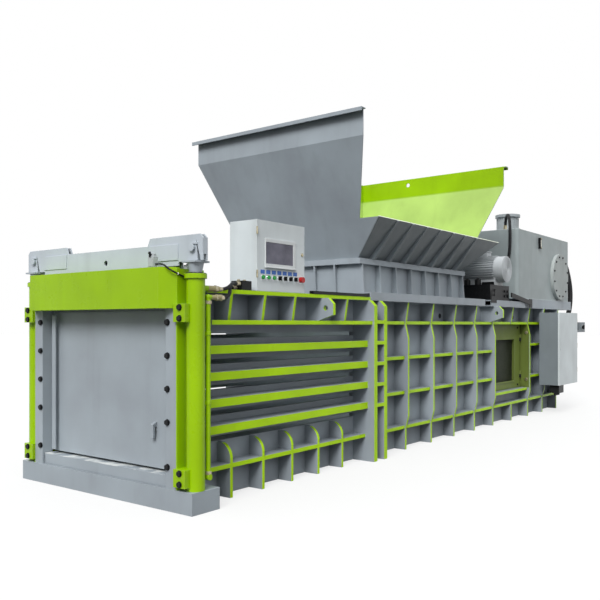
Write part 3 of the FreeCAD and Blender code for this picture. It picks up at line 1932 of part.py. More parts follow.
for number in range(3):
    name = f"push_button_{number + 1}"
    pieces = control(name, control_xs[number], s.button_radius, s.button_height, s.button_travel)
    node(name, fuse(name + "_shape", pieces))
for number in range(4):
    name = f"selector_{number + 1}"
    at = control_xs[number + 3]
    pieces = control(name, at, s.selector_radius, s.selector_height, sized(0))
    grip_low = panel_face_y - s.running_gap - s.selector_height
    grip = block(
        name + "_grip",
        (at - s.selector_grip_width / 2, at + s.selector_grip_width / 2),
        (grip_low - s.selector_grip_height, grip_low),
        (control_z - s.selector_radius, control_z + s.selector_radius),
    )
    node(name, fuse(name + "_shape", [*pieces, grip]))
stop_x = control_xs[7]
node(
    "emergency_stop",
    fuse(
        "emergency_stop_shape",
        control("emergency_stop", stop_x, s.stop_radius, s.stop_height, s.stop_travel),
    ),
)

# ---- Electric cabinet ---------------------------------------------------------------------
electric_front = press_end - s.electric_overlap
electric_rear = electric_front + s.electric_width
electric_back = -s.press_bulge_half
electric_mouth = electric_back - s.electric_strip - s.electric_depth + s.electric_door
electric_face = electric_mouth - s.electric_door
electric_high = s.electric_low + s.electric_height
wall = s.electric_wall
electric_shell = block(
    "electric_shell",
    (electric_front, electric_rear),
    (electric_mouth, electric_back - s.electric_strip),
    (s.electric_low, electric_high),
)
electric_room = block(
    "electric_room",
    (electric_front + wall, electric_rear - wall),
    (electric_mouth - 1, electric_back - s.electric_strip - wall),
    (s.electric_low + wall, electric_high - wall),
)
strips = [
    block(
        f"electric_strip_{number}",
        (electric_front + wall, press_end),
        (electric_back - s.electric_strip, electric_back),
        (low, low + s.electric_strip * 10),
    )
    for number, low in enumerate(
        (s.press_bulge_low + s.electric_low / 2, s.press_bulge_high - s.electric_strip * 20)
    )
]
isolator_front = electric_rear + s.isolator_gap
isolator_low = s.electric_low + s.isolator_low
isolator_across = (electric_mouth, electric_mouth + s.isolator_depth)
isolator = block(
    "isolator_box",
    (isolator_front, isolator_front + s.isolator_width),
    isolator_across,
    (isolator_low, isolator_low + s.isolator_height),
)
isolator_arm = block(
    "isolator_arm",
    (electric_rear, isolator_front),
    isolator_across,
    (isolator_low, isolator_low + s.isolator_arm),
)
gland_front = electric_front + s.lock_inset
gland_box = block(
    "gland_box",
    (gland_front, gland_front + s.gland_width),
    (electric_mouth, electric_mouth + s.gland_depth),
    (s.electric_low - s.gland_height, s.electric_low),
)
electric_solid = fuse("electric_solid", [electric_shell, *strips, isolator, isolator_arm, gland_box])
node("electric_cabinet", cut("electric_cabinet_shape", electric_solid, [electric_room]))
electric_door = block(
    "electric_door_slab",
    (electric_front, electric_rear),
    (electric_face, electric_mouth - s.running_gap),
    (s.electric_low, electric_high),
)
lock = cylinder(
    "electric_lock",
    "Y",
    (electric_front + s.lock_inset, (s.electric_low + electric_high) / 2),
    s.bolt_head_radius,
    (electric_face - s.electric_strip, electric_face),
)
node("electric_door", fuse("electric_door_shape", [electric_door, lock]))

# ---- Ram and main cylinder ----------------------------------------------------------------
ram_front = from_sill(s.ram_start)
ram_rear = ram_front + s.ram_length
ram_half = s.clear_half - s.ram_side_gap
ram_low = s.floor_top + s.running_gap + s.wear_strip
ram_high = roof_under - s.ram_top_gap
ram_shell = block("ram_shell", (ram_front, ram_rear), (-ram_half, ram_half), (ram_low, ram_high))
ram_room = block(
    "ram_room",
    (ram_front + s.ram_face, ram_rear + 1),
    (s.ram_wall - ram_half, ram_half - s.ram_wall),
    (ram_low + s.ram_wall, ram_high - s.ram_wall),
)
ram_strips = [
    block(
        f"wear_strip_{number}",
        (ram_front, ram_rear),
        (middle - s.wear_strip_width / 2, middle + s.wear_strip_width / 2),
        (ram_low - s.wear_strip, ram_low),
    )
    for number, middle in enumerate((ram_half * -0.7, sized(0), ram_half * 0.7))
]
node("ram_head", cut("ram_head_shape", fuse("ram_solid", [ram_shell, *ram_strips]), [ram_room]))

barrel_front = from_sill(s.main_barrel_start)
barrel_rear = from_sill(s.main_barrel_end)
bore_end = barrel_rear - s.main_end_cap
main_port_x = barrel_rear - s.main_port_inset
gland_end = barrel_front + s.main_end_cap
main_barrel = cut(
    "main_barrel_shape",
    fuse(
        "main_barrel_solid",
        [
            cylinder("main_tube", "X", main_at, s.main_barrel_radius, (barrel_front, barrel_rear)),
            cylinder(
                "main_flange_inside",
                "X",
                main_at,
                s.main_flange_radius,
                (rear_plate_front - s.main_flange_thickness, rear_plate_front),
            ),
            cylinder(
                "main_flange_outside",
                "X",
                main_at,
                s.main_flange_radius,
                (press_end, press_end + s.main_flange_thickness),
            ),
            cylinder(
                "main_port",
                "Y",
                (main_port_x, s.main_axis_height),
                s.hose_port_radius,
                (-s.main_barrel_radius - s.hose_port_reach, -s.main_bore),
            ),
        ],
    ),
    [
        cylinder("main_bore_space", "X", main_at, s.main_bore, (gland_end, bore_end)),
        cylinder(
            "main_gland", "X", main_at, s.main_rod_radius + s.running_gap, (barrel_front - 1, gland_end)
        ),
    ],
)
node("ram_cylinder", main_barrel)
rod_front = ram_front + s.ram_face
rod_rear = bore_end - s.guide_gap
main_rod = fuse(
    "ram_rod_shape",
    [
        cylinder("main_rod", "X", main_at, s.main_rod_radius, (rod_front, rod_rear)),
        cylinder(
            "main_piston_ring",
            "X",
            main_at,
            s.main_bore - s.running_gap,
            (rod_rear - s.main_piston, rod_rear),
        ),
        cylinder("rod_seat", "X", main_at, s.rod_seat_radius, (rod_front, rod_front + s.rod_seat_thickness)),
    ],
)
node("ram_rod", main_rod)

# ---- Limit switch on the cover beam, hose manifolds ---------------------------------------
switch_x = cover_front + s.cover_thickness * 3
switch_foot = block(
    "switch_foot",
    (switch_x, switch_x + s.switch_depth),
    (-s.switch_half - s.switch_width, s.switch_width - s.switch_half),
    (cover_top, cover_top + s.cover_thickness),
)
switch_case = block(
    "switch_case",
    (switch_x, switch_x + s.switch_depth),
    (-s.switch_half - s.switch_width / 2, s.switch_width / 2 - s.switch_half),
    (cover_top + s.cover_thickness, cover_top + s.switch_height),
)
post_switch_x = from_sill(s.post_switch_offset)
post_switch = block(
    "post_switch",
    (post_switch_x, post_switch_x + s.post_switch_size),
    (-s.post_half, s.post_switch_size - s.post_half),
    (s.post_top, s.post_top + s.post_switch_size),
)
node(
    "limit_switch",
    group("limit_switch", [fuse("limit_switch_shape", [switch_foot, switch_case]), post_switch]),
)

manifold_front = from_sill(s.manifold_start)
manifold = block(
    "manifold_left",
    (manifold_front, manifold_front + s.manifold_length),
    (s.manifold_half, s.manifold_half + s.manifold_width),
    (s.deck_height, s.deck_height + s.manifold_height),
)
node("hose_manifolds", both_sides("hose_manifolds", manifold))
# ---- Hoses and the switch cable: straight runs joined by tangent arcs ---------------------


def tube(name, points, radius):
    """A round tube along a route, with each corner rounded as widely as its two runs allow."""
    edges = []
    radii = []
    start = points[0]
    for number in range(1, len(points) - 1):
        corner = points[number]
        back = points[number - 1] - corner
        ahead = points[number + 1] - corner
        shorter = min(back.Length, ahead.Length)
        half_turn = (math.pi - back.getAngle(ahead)) / 2
        reach = 0.45 * shorter
        bend = reach / math.tan(half_turn)
        back.normalize()
        ahead.normalize()
        entry = corner + back * reach
        leave = corner + ahead * reach
        centre = corner + (back + ahead).normalize() * (bend / math.cos(half_turn))
        middle = centre + (corner - centre).normalize() * bend
        edges += [Part.LineSegment(start, entry).toShape(), Part.Arc(entry, middle, leave).toShape()]
        radii.append(bend)
        start = leave
    edges.append(Part.LineSegment(start, points[-1]).toShape())
    path = Part.Wire(edges)
    first = points[1] - points[0]
    ring = Part.Wire([Part.Circle(points[0], first, radius).toShape()])
    shape = path.makePipeShell([ring], True, False)
    share = shape.Volume / (math.pi * radius * radius * path.Length)
    print(f"{name}: length {path.Length:.0f} mm, volume share {share:.4f},",
          "radii in diameters", [round(bend / radius / 2, 1) for bend in radii])
    item = doc.addObject("Part::Feature", name)
    item.Shape = shape
    return item


def at(x, y, z):
    return Vector(*(sized(amount).value for amount in (x, y, z)))


port_end = barrel_x + s.barrel_radius + s.port_reach
manifold_z = s.deck_height + s.manifold_height / 2
upper_y = s.manifold_half + s.manifold_width - 20
lower_y = upper_y - 32
upper_hose = [
    at(port_end, s.barrel_half, s.port_height),
    at(port_end + 38, s.barrel_half, s.port_height),
    at(port_end + 75, s.barrel_half - 2, s.port_height + 8),
    at(port_end + 111, s.barrel_half - 12, s.port_height + 20),
    at(manifold_front - 118, upper_y + 38, manifold_z - 1),
    at(manifold_front - 80, upper_y + 14, manifold_z + 7),
    at(manifold_front - 40, upper_y, manifold_z + 11),
    at(manifold_front, upper_y, manifold_z + 11),
]
pipe_end = pipe_x + s.pipe_head
lower_hose = [
    at(pipe_end, s.pipe_half, s.pipe_top),
    at(pipe_end + 35, s.pipe_half, s.pipe_top),
    at(pipe_end + 69, s.pipe_half - 4, s.pipe_top + 8),
    at(pipe_end + 101, s.pipe_half - 16, s.pipe_top + 28),
    at(pipe_end + 129, s.pipe_half - 40, s.pipe_top + 52),
    at(manifold_front - 128, lower_y + 68, manifold_z - 16),
    at(manifold_front - 102, lower_y + 38, manifold_z - 15),
    at(manifold_front - 72, lower_y + 14, manifold_z - 15),
    at(manifold_front - 38, lower_y, manifold_z - 15),
    at(manifold_front, lower_y, manifold_z - 15),
]
hose_radius = s.hose_radius.value
gate_hoses = group(
    "gate_hose_pair",
    [tube("gate_hose_upper", upper_hose, hose_radius), tube("gate_hose_lower", lower_hose, hose_radius)],
)
node("gate_hoses", both_sides("gate_hoses", gate_hoses))

case_side = -s.switch_half - s.switch_width / 2
case_x = switch_x + s.switch_depth / 2
case_z = cover_top + s.cover_thickness + s.cable_radius * 2
post_side = -s.post_half
clip_x = post_front + s.cable_clip_offset + s.cable_clip_size / 2
clip_y = post_side - s.cable_clip_size / 2
cable = [
    at(case_x, case_side, case_z),
    at(case_x, case_side - 24, case_z),
    at(case_x - 5, case_side - 49, case_z - 2),
    at(case_x - 14, case_side - 75, case_z - 5),
    at(case_x - 25, case_side - 100, case_z - 11),
    at(cover_front + 21, post_side + 29, cover_top + 2),
    at(cover_front + 30, post_side + 10, cover_top - 16),
    at(cover_front + 60, post_side - 4, cover_top - 32),
    at(post_front + 14, post_side - 6.5, cover_top - 43),
    at(post_front + 48, post_side - 6.5, cover_top - 54),
    at(post_front + 78, post_side - 6.5, cover_top - 68),
    at(clip_x - 32, post_side - 7.5, s.cable_clip_height + 88),
    at(clip_x - 10, post_side - 9.5, s.cable_clip_height + 60),
    at(clip_x, clip_y, s.cable_clip_height + 28),
    at(clip_x, clip_y, s.cable_clip_height),
]
node("switch_cable", tube("switch_cable_tube", cable, s.cable_radius.value))

filter_y = -s.filter_half
rear_y = -s.tank_half
main_port_y = -s.main_barrel_radius - s.hose_port_reach
axis_z = s.main_axis_height
return_hose = [
    at(filter_port_x, filter_y, filter_port_z),
    at(filter_port_x + 112, filter_y, filter_port_z),
    at(tank_rear - 470, rear_y + 490, tank_high + 138),
    at(tank_rear - 366, rear_y + 456, tank_high + 108),
    at(tank_rear - 264, rear_y + 408, tank_high + 78),
    at(tank_rear - 160, rear_y + 358, tank_high + 66),
    at(tank_rear - 52, rear_y + 312, tank_high + 64),
    at(tank_rear + 54, rear_y + 270, tank_high + 46),
    at(tank_rear + 146, rear_y + 230, tank_high - 8),
    at(tank_rear + 210, rear_y + 192, tank_high - 94),
    at(tank_rear + 252, rear_y + 156, tank_high - 196),
    at(tank_rear + 276, rear_y + 124, tank_high - 308),
    at(tank_rear + 286, rear_y + 98, tank_high - 426),
    at(tank_rear + 282, rear_y + 76, tank_high - 546),
    at(tank_rear + 266, rear_y + 61, tank_high - 664),
    at(tank_rear + 240, rear_y + 54, tank_high - 778),
    at(tank_rear + 206, rear_y + 54, tank_high - 886),
    at(tank_rear + 164, rear_y + 61, tank_high - 988),
    at(tank_rear + 116, rear_y + 74, tank_high - 1084),
    at(tank_rear + 62, rear_y + 94, tank_high - 1178),
    at(main_port_x + 164, main_port_y - 389, axis_z + 261),
    at(main_port_x + 116, main_port_y - 357, axis_z + 187),
    at(main_port_x + 76, main_port_y - 317, axis_z + 127),
    at(main_port_x + 44, main_port_y - 267, axis_z + 77),
    at(main_port_x + 20, main_port_y - 207, axis_z + 39),
    at(main_port_x + 6, main_port_y - 140, axis_z + 13),
    at(main_port_x, main_port_y - 70, axis_z),
    at(main_port_x, main_port_y, axis_z),
]
node("return_hose", tube("return_hose_tube", return_hose, s.return_hose_radius.value))

valve_port_x = valve_rear + s.breather_height
hose_y = -s.breather_half
tank_hose = [
    at(*breather_at, breather_top),
    at(*breather_at, breather_top + 46),
    at(breather_at[0] - 13, hose_y - 9, breather_top + 92),
    at(breather_at[0] - 48, hose_y - 30, breather_top + 130),
    at(breather_at[0] - 98, hose_y - 60, breather_top + 150),
    at(breather_at[0] - 156, hose_y - 94, breather_top + 150),
    at(tank_front + 116, hose_y - 126, breather_top + 130),
    at(tank_front + 60, hose_y - 156, breather_top + 92),
    at(tank_front + 8, hose_y - 182, breather_top + 38),
    at(tank_front - 30, hose_y - 200, breather_top - 30),
    at(tank_front - 52, hose_y - 210, breather_top - 110),
    at(tank_front - 60, hose_y - 212, breather_top - 200),
    at(tank_front - 58, hose_y - 206, breather_top - 306),
    at(tank_front - 60, hose_y - 188, breather_top - 416),
    at(tank_front - 60, hose_y - 156, breather_top - 510),
    at(tank_front - 62, hose_y - 122, valve_port_z + 182),
    at(tank_front - 68, hose_y - 88, valve_port_z + 122),
    at(tank_front - 86, hose_y - 56, valve_port_z + 72),
    at(tank_front - 120, hose_y - 28, valve_port_z + 32),
    at(tank_front - 166, hose_y - 8, valve_port_z + 8),
    at(valve_port_x + 54, hose_y, valve_port_z),
    at(valve_port_x, hose_y, valve_port_z),
]
node("tank_hose", tube("tank_hose_tube", tank_hose, s.tank_hose_radius.value))

doc.recompute()
failed = [item.Label for item in doc.Objects if {"Invalid", "Error"} & set(item.State)]
failed += [item.Label for item in nodes if item.Shape.isNull() or not item.Shape.isValid()]
if failed:
    raise RuntimeError(f"these pieces could not be made: {failed}")
os.makedirs("parts", exist_ok=True)
for item in nodes:
    item.Shape.exportStep(f"parts/{item.Label}.step")
print(len(nodes), "nodes,", sum(len(item.Shape.Solids) for item in nodes), "solids")
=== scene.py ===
"""The looks of a horizontal recycling baler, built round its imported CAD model."""

import math

import bmesh
import bpy
from mathutils import Matrix, Vector


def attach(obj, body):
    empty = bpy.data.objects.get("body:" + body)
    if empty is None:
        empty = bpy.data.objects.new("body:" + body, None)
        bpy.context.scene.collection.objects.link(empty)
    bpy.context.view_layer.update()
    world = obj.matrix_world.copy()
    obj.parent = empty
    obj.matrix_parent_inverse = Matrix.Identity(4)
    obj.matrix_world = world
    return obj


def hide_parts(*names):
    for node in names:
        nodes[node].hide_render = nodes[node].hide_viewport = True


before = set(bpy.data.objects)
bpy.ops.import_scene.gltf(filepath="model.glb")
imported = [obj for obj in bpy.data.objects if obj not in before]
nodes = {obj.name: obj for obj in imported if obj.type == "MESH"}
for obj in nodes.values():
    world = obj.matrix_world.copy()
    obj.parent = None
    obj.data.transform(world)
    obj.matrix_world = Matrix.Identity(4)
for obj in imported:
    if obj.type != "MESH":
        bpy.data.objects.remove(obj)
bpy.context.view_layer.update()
scene = bpy.context.scene

# ---- Camera: stands level at eye height off the gate's near corner, with a short telephoto
# lens. The small upward shift keeps the uprights parallel, as they are in the photograph.
camera = bpy.data.objects.new("camera", bpy.data.cameras.new("camera"))
camera.data.lens = 43.77
camera.data.sensor_width = 36
camera.data.shift_y = 0.0403
camera.data.clip_start = 0.05
camera.location = (-2.984, -3.815, 1.080)
look_x, look_y = 0.7928, 0.6094
camera.rotation_euler = (math.radians(90), 0, -math.atan2(look_x, look_y))
scene.collection.objects.link(camera)
scene.camera = camera


# ---- Hydraulic hoses: two-wire braided hose with a smooth synthetic rubber cover, matte and
# black with a little gray bloom, each end crimped into a zinc-plated steel ferrule.
def colour(code):
    """An sRGB hex code as linear red, green, blue and an alpha of 1."""
    channels = [int(code[place : place + 2], 16) / 255 for place in (1, 3, 5)]
    return [c / 12.92 if c <= 0.04045 else ((c + 0.055) / 1.055) ** 2.4 for c in channels] + [1.0]


def add(tree, kind, settings=None, links=None):
    """Adds a shader node, with its settings and the sockets that feed it."""
    made = tree.nodes.new(kind)
    for name, value in (settings or {}).items():
        if isinstance(name, int) or name in made.inputs:
            made.inputs[name].default_value = value
        else:
            setattr(made, name, value)
    for name, source in (links or {}).items():
        tree.links.new(source, made.inputs[name])
    return made


def bare_material(name, roughness, metallic=0.0, specular=0.5):
    """A material with nothing but its shader, and the Object coordinates for its patterns."""
    material = bpy.data.materials.new(name)
    material.use_nodes = True
    tree = material.node_tree
    tree.nodes.clear()
    shader = add(tree, "ShaderNodeBsdfPrincipled", {"Roughness": roughness, "Metallic": metallic})
    shader.inputs["Specular IOR Level"].default_value = specular
    add(tree, "ShaderNodeOutputMaterial", {}, {"Surface": shader.outputs["BSDF"]})
    place = add(tree, "ShaderNodeTexCoord").outputs["Object"]
    return material, tree, shader, place


def mottled(tree, place, dark, light, scale, detail=4.0):
    """A colour that wanders between two shades, in patches of about 1/scale metres."""
    patches = add(
        tree, "ShaderNodeTexNoise", {"Scale": scale, "Detail": detail}, {"Vector": place}
    )
    spread = add(
        tree,
        "ShaderNodeMapRange",
        {"From Min": 0.3, "From Max": 0.7},
        {"Value": patches.outputs["Fac"]},
    )
    mix = add(
        tree,
        "ShaderNodeMix",
        {"data_type": "RGBA", 6: colour(dark), 7: colour(light)},
        {"Factor": spread.outputs["Result"]},
    )
    return mix.outputs[2]


def grain(tree, place, scale, depth, strength=1.0, normal=None):
    """A bump of fine grain: scale is grains per metre, and depth their height in metres."""
    noise = add(tree, "ShaderNodeTexNoise", {"Scale": scale, "Detail": 3.0}, {"Vector": place})
    links = {"Height": noise.outputs["Fac"]}
    if normal is not None:
        links["Normal"] = normal
    bump = add(tree, "ShaderNodeBump", {"Strength": strength, "Distance": depth}, links)
    return bump.outputs["Normal"]


def plain_finish(
    name, dark, light, patch, roughness, metallic=0.0, fine=1500, depth=0.0002, specular=0.4
):
    """One colour that wanders a little, under a fine grain of the depth given in metres.

    There are about patch patches, and fine grains, in a metre.
    """
    material, tree, shader, place = bare_material(name, roughness, metallic, specular)
    tree.links.new(mottled(tree, place, dark, light, patch), shader.inputs["Base Color"])
    tree.links.new(grain(tree, place, fine, depth), shader.inputs["Normal"])
    return material


# Vulcanised rubber cover: dull black and dusty in patches, with the cloth wrap's grain, drawn
# at 1 mm, twice the real thread, so that it shows.
rubber = plain_finish(
    "vulcanised_rubber", "#101113", "#1e1f21", 14, 0.6, 0.0, 900, 0.0006, specular=0.2
)
# Zinc-plated steel: pale, faintly yellow passivation over a machined surface, so the gloss is
# soft and the colour clouds over 15 mm or so.
zinc = plain_finish("zinc_plated_steel", "#928a70", "#b9b29b", 60, 0.38, 1.0, 1400)


def hose(name, points, radius, replaced):
    """A hose along a route, whose ends go into the machine."""
    curve = bpy.data.curves.new(name, "CURVE")
    curve.dimensions = "3D"
    curve.bevel_depth = radius
    curve.bevel_resolution = 5
    curve.resolution_u = 10
    spline = curve.splines.new("NURBS")
    spline.points.add(len(points) - 1)
    for point, spot in zip(spline.points, points):
        point.co = (*spot, 1.0)
    spline.order_u = 3
    spline.use_endpoint_u = True
    item = bpy.data.objects.new(name, curve)
    scene.collection.objects.link(item)
    curve.materials.append(rubber)
    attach(item, "frame")
    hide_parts(replaced)


gate_hose_radius = 0.011
suction_radius = 0.032
tank_line_radius = 0.017
cable_radius = 0.005
upper_route = [
    (0.1515, 0.792, 1.288), (0.1895, 0.792, 1.288), (0.2265, 0.790, 1.296), (0.2625, 0.780, 1.308),
    (0.3005, 0.760, 1.323), (0.3385, 0.736, 1.331), (0.3785, 0.722, 1.335), (0.4185, 0.722, 1.335),
]
lower_route = [
    (0.1365, 0.821, 1.236), (0.1715, 0.821, 1.236), (0.2055, 0.817, 1.244), (0.2375, 0.805, 1.264),
    (0.2655, 0.781, 1.288), (0.2905, 0.758, 1.308), (0.3165, 0.728, 1.309), (0.3465, 0.704, 1.309),
    (0.3805, 0.690, 1.309), (0.4185, 0.690, 1.309),
]
for side, sign in (("left", 1), ("right", -1)):
    for level, route, length in (("upper", upper_route, 0.288), ("lower", lower_route, 0.344)):
        spots = [(x, sign * y, z) for x, y, z in route]
        hose(f"gate_hose_{level}_{side}", spots, gate_hose_radius, "gate_hoses")

# The return hose is a 2-inch suction hose: a thick cover over a steel spiral.
return_route = [
    (6.2935, -0.200, 2.330), (6.4055, -0.200, 2.330), (6.5155, -0.214, 2.318),
    (6.6195, -0.248, 2.288), (6.7215, -0.296, 2.258), (6.8255, -0.346, 2.246),
    (6.9335, -0.392, 2.244), (7.0395, -0.434, 2.226), (7.1315, -0.474, 2.172),
    (7.1955, -0.512, 2.086), (7.2375, -0.548, 1.984), (7.2615, -0.580, 1.872),
    (7.2715, -0.606, 1.754), (7.2675, -0.628, 1.634), (7.2515, -0.643, 1.516),
    (7.2255, -0.650, 1.402), (7.1915, -0.650, 1.294), (7.1495, -0.643, 1.192),
    (7.1015, -0.630, 1.096), (7.0475, -0.610, 1.002), (6.9925, -0.584, 0.916),
    (6.9445, -0.552, 0.842), (6.9045, -0.512, 0.782), (6.8725, -0.462, 0.732),
    (6.8485, -0.402, 0.694), (6.8345, -0.335, 0.668), (6.8285, -0.265, 0.655),
    (6.8285, -0.195, 0.655),
]
hose("return_line", return_route, suction_radius, "return_hose")

# The tank line drops from the breather to the back of the valve block.
tank_route = [
    (5.4905, -0.420, 2.220), (5.4905, -0.420, 2.266), (5.4775, -0.429, 2.312),
    (5.4425, -0.450, 2.350), (5.3925, -0.480, 2.370), (5.3345, -0.514, 2.370),
    (5.2765, -0.546, 2.350), (5.2205, -0.576, 2.312), (5.1685, -0.602, 2.258),
    (5.1305, -0.620, 2.190), (5.1085, -0.630, 2.110), (5.1005, -0.632, 2.020),
    (5.1025, -0.626, 1.914), (5.1005, -0.608, 1.804), (5.1005, -0.576, 1.710),
    (5.0985, -0.542, 1.608), (5.0925, -0.508, 1.548), (5.0745, -0.476, 1.498),
    (5.0405, -0.448, 1.458), (4.9945, -0.428, 1.434), (4.9425, -0.420, 1.426),
    (4.8885, -0.420, 1.426),
]
hose("tank_line", tank_route, tank_line_radius, "tank_hose")

# The limit switch's cable is thin and limp, and runs round the post's cap and down behind it.
cable_route = [
    (-0.1255, -0.557, 1.430), (-0.1255, -0.581, 1.430), (-0.1305, -0.606, 1.428),
    (-0.1395, -0.632, 1.425), (-0.1505, -0.657, 1.419), (-0.1625, -0.684, 1.410),
    (-0.1535, -0.703, 1.392), (-0.1235, -0.717, 1.376), (-0.0895, -0.7195, 1.365),
    (-0.0555, -0.7195, 1.354), (-0.0255, -0.7195, 1.340), (0.0025, -0.7205, 1.318),
    (0.0245, -0.7225, 1.290), (0.0345, -0.723, 1.258), (0.0345, -0.723, 1.230),
]
hose("limit_switch_cable", cable_route, cable_radius, "switch_cable")


def turned(mesh, spot, axis, profile, steps=32):
    """A piece turned on a lathe: profile lists each radius and its distance along the axis."""
    lathe = bmesh.new()
    verts = [lathe.verts.new((radius, 0, along)) for radius, along in profile]
    edges = [lathe.edges.new(pair) for pair in zip(verts, verts[1:])]
    bmesh.ops.spin(
        lathe,
        geom=verts + edges,
        cent=(0, 0, 0),
        axis=(0, 0, 1),
        angle=math.tau,
        steps=steps,
        use_merge=True,
    )
    bmesh.ops.remove_doubles(lathe, verts=lathe.verts, dist=1e-6)
    turn = Vector((0, 0, 1)).rotation_difference(Vector(axis)).to_matrix().to_4x4()
    bmesh.ops.transform(lathe, matrix=Matrix.Translation(spot) @ turn, verts=lathe.verts)
    bmesh.ops.recalc_face_normals(lathe, faces=lathe.faces)
    made = bpy.data.meshes.new("turned")
    lathe.to_mesh(made)
    lathe.free()
    mesh.from_mesh(made)
    bpy.data.meshes.remove(made)


def piece(name, mesh, material, body, replaced=(), smooth=True):
    """Makes an object of a mesh, gives it its finish and lets it ride on a body."""
    bmesh.ops.recalc_face_normals(mesh, faces=mesh.faces)
    data = bpy.data.meshes.new(name)
    mesh.to_mesh(data)
    mesh.free()
    data.materials.append(material)
    item = bpy.data.objects.new(name, data)
    scene.collection.objects.link(item)
    if smooth:
        data.shade_smooth()
        data.set_sharp_from_angle(angle=math.radians(35))
        item.modifiers.new("flat_faces_stay_flat", "WEIGHTED_NORMAL").keep_sharp = True
    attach(item, body)
    if replaced:
        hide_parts(*replaced)


def ferrule(mesh, spot, axis, radius):
    """A crimped sleeve over a hose's end, with the swivel nut behind it."""
    sleeve = [(radius * scale, radius * along) for scale, along in (
        (1.0, 0), (1.22, 0), (1.22, 0.5), (1.14, 0.6), (1.14, 1.0), (1.22, 1.1), (1.22, 1.6),
        (1.14, 1.7), (1.14, 2.1), (1.22, 2.2), (1.22, 2.7), (1.06, 2.9), (1.0, 2.9), (1.0, 0),
    )]
    turned(mesh, spot, axis, sleeve, 24)


fittings = bmesh.new()
for sign in (1, -1):
    for route, end, facing in (
        (upper_route, 0, 1), (lower_route, 0, 1), (upper_route, -1, -1), (lower_route, -1, -1),
    ):
        x, y, z = route[end]
        ferrule(fittings, (x, sign * y, z), (facing, 0, 0), gate_hose_radius)
ferrule(fittings, return_route[0], (1, 0, 0), suction_radius)
ferrule(fittings, return_route[-1], (0, -1, 0), suction_radius)
ferrule(fittings, tank_route[0], (0, 0, 1), tank_line_radius)
ferrule(fittings, tank_route[-1], (1, 0, 0), tank_line_radius)
piece("hose_ferrules", fittings, zinc, "frame")

# ---- Sill and gate frame: hot-rolled plate, welded, blasted and sprayed with a two-pack
# enamel. The enamel has a fine orange peel, and is paler along a cut edge, partly where it thins
# and partly as a painted highlight.
GRAY = "#9ca4aa"
GREEN = "#95bd00"


def enamel(name, shade, second=(), mask=(), roughness=0.4):
    """Sprayed enamel in one colour, with each second colour where its mask is 1, painted shade in
    its inner corners and a painted highlight along its edges.
    """
    material, tree, shader, place = bare_material(name, roughness, specular=0.22)

    def tones(code):
        values = [int(code[start : start + 2], 16) for start in (1, 3, 5)]
        dark = "#" + "".join(f"{round(value * 0.94):02x}" for value in values)
        pale = "#" + "".join(f"{min(255, round(value * 1.04)):02x}" for value in values)
        return mottled(tree, place, dark, pale, 2.2, 6.0)

    paint = tones(shade)
    for code, where in zip(second, mask):
        paint = add(
            tree,
            "ShaderNodeMix",
            {"data_type": "RGBA"},
            {"Factor": where(tree, place), 6: paint, 7: tones(code)},
        ).outputs[2]
    # Dust and rain marks run down the plates: a noise drawn out to 12 times its width.
    stretched = add(
        tree, "ShaderNodeMapping", {"Scale": (9.0, 9.0, 0.75)}, {"Vector": place}
    ).outputs["Vector"]
    marks = add(tree, "ShaderNodeTexNoise", {"Scale": 1.0, "Detail": 5.0}, {"Vector": stretched})
    streak = add(
        tree,
        "ShaderNodeMapRange",
        {"From Min": 0.52, "From Max": 0.75, "To Max": 0.11},
        {"Value": marks.outputs["Fac"]},
    )
    dusty = add(
        tree,
        "ShaderNodeMix",
        {"data_type": "RGBA", "blend_type": "MULTIPLY", 7: colour("#8e8a80")},
        {"Factor": streak.outputs["Result"], 6: paint},
    )
    # Painted shade: the inner corners are darkened within about 120 mm of the joint, where shade
    # falls.
    corner = add(
        tree, "ShaderNodeAmbientOcclusion", {"samples": 4, "only_local": True, "Distance": 0.12}
    )
    corner_shade_amount = add(
        tree,
        "ShaderNodeMapRange",
        {"From Min": 0.78, "From Max": 0.22, "To Max": 0.60},
        {"Value": corner.outputs["AO"]},
    )
    painted_corner_shade = add(
        tree,
        "ShaderNodeMix",
        {"data_type": "RGBA", "blend_type": "MULTIPLY", 7: colour("#5b5d5e")},
        {"Factor": corner_shade_amount.outputs["Result"], 6: dusty.outputs[2]},
    )
    # The last 3 mm at a sharp edge are lightened, partly as enamel that draws back thin and pale
    # and partly as a painted highlight where the edge catches the light.
    rounded = add(tree, "ShaderNodeBevel", {"samples": 4, "Radius": 0.003})
    flat = add(tree, "ShaderNodeNewGeometry")
    turn = add(
        tree,
        "ShaderNodeVectorMath",
        {"operation": "DOT_PRODUCT"},
        {0: rounded.outputs["Normal"], 1: flat.outputs["Normal"]},
    )
    edge = add(
        tree,
        "ShaderNodeMapRange",
        {"From Min": 0.995, "From Max": 0.80, "To Max": 0.35},
        {"Value": turn.outputs["Value"]},
    )
    worn_and_highlit_edges = add(
        tree,
        "ShaderNodeMix",
        {"data_type": "RGBA", "blend_type": "SCREEN", 7: colour("#8a8d8c")},
        {"Factor": edge.outputs["Result"], 6: painted_corner_shade.outputs[2]},
    )
    tree.links.new(worn_and_highlit_edges.outputs[2], shader.inputs["Base Color"])
    # The gloss changes a little over 100 mm, where the spray went on wetter or drier.
    gloss = add(tree, "ShaderNodeTexNoise", {"Scale": 9.0, "Detail": 5.0}, {"Vector": place})
    dull = add(
        tree,
        "ShaderNodeMapRange",
        {"From Min": 0.3, "From Max": 0.7, "To Min": roughness - 0.06, "To Max": roughness + 0.08},
        {"Value": gloss.outputs["Fac"]},
    )
    tree.links.new(dull.outputs["Result"], shader.inputs["Roughness"])
    # Orange peel: dimples drawn 2.4 mm apart, about twice the real spacing, so that they show.
    peel = grain(tree, place, 420, 0.0007, 0.35, rounded.outputs["Normal"])
    tree.links.new(peel, shader.inputs["Normal"])
    return material


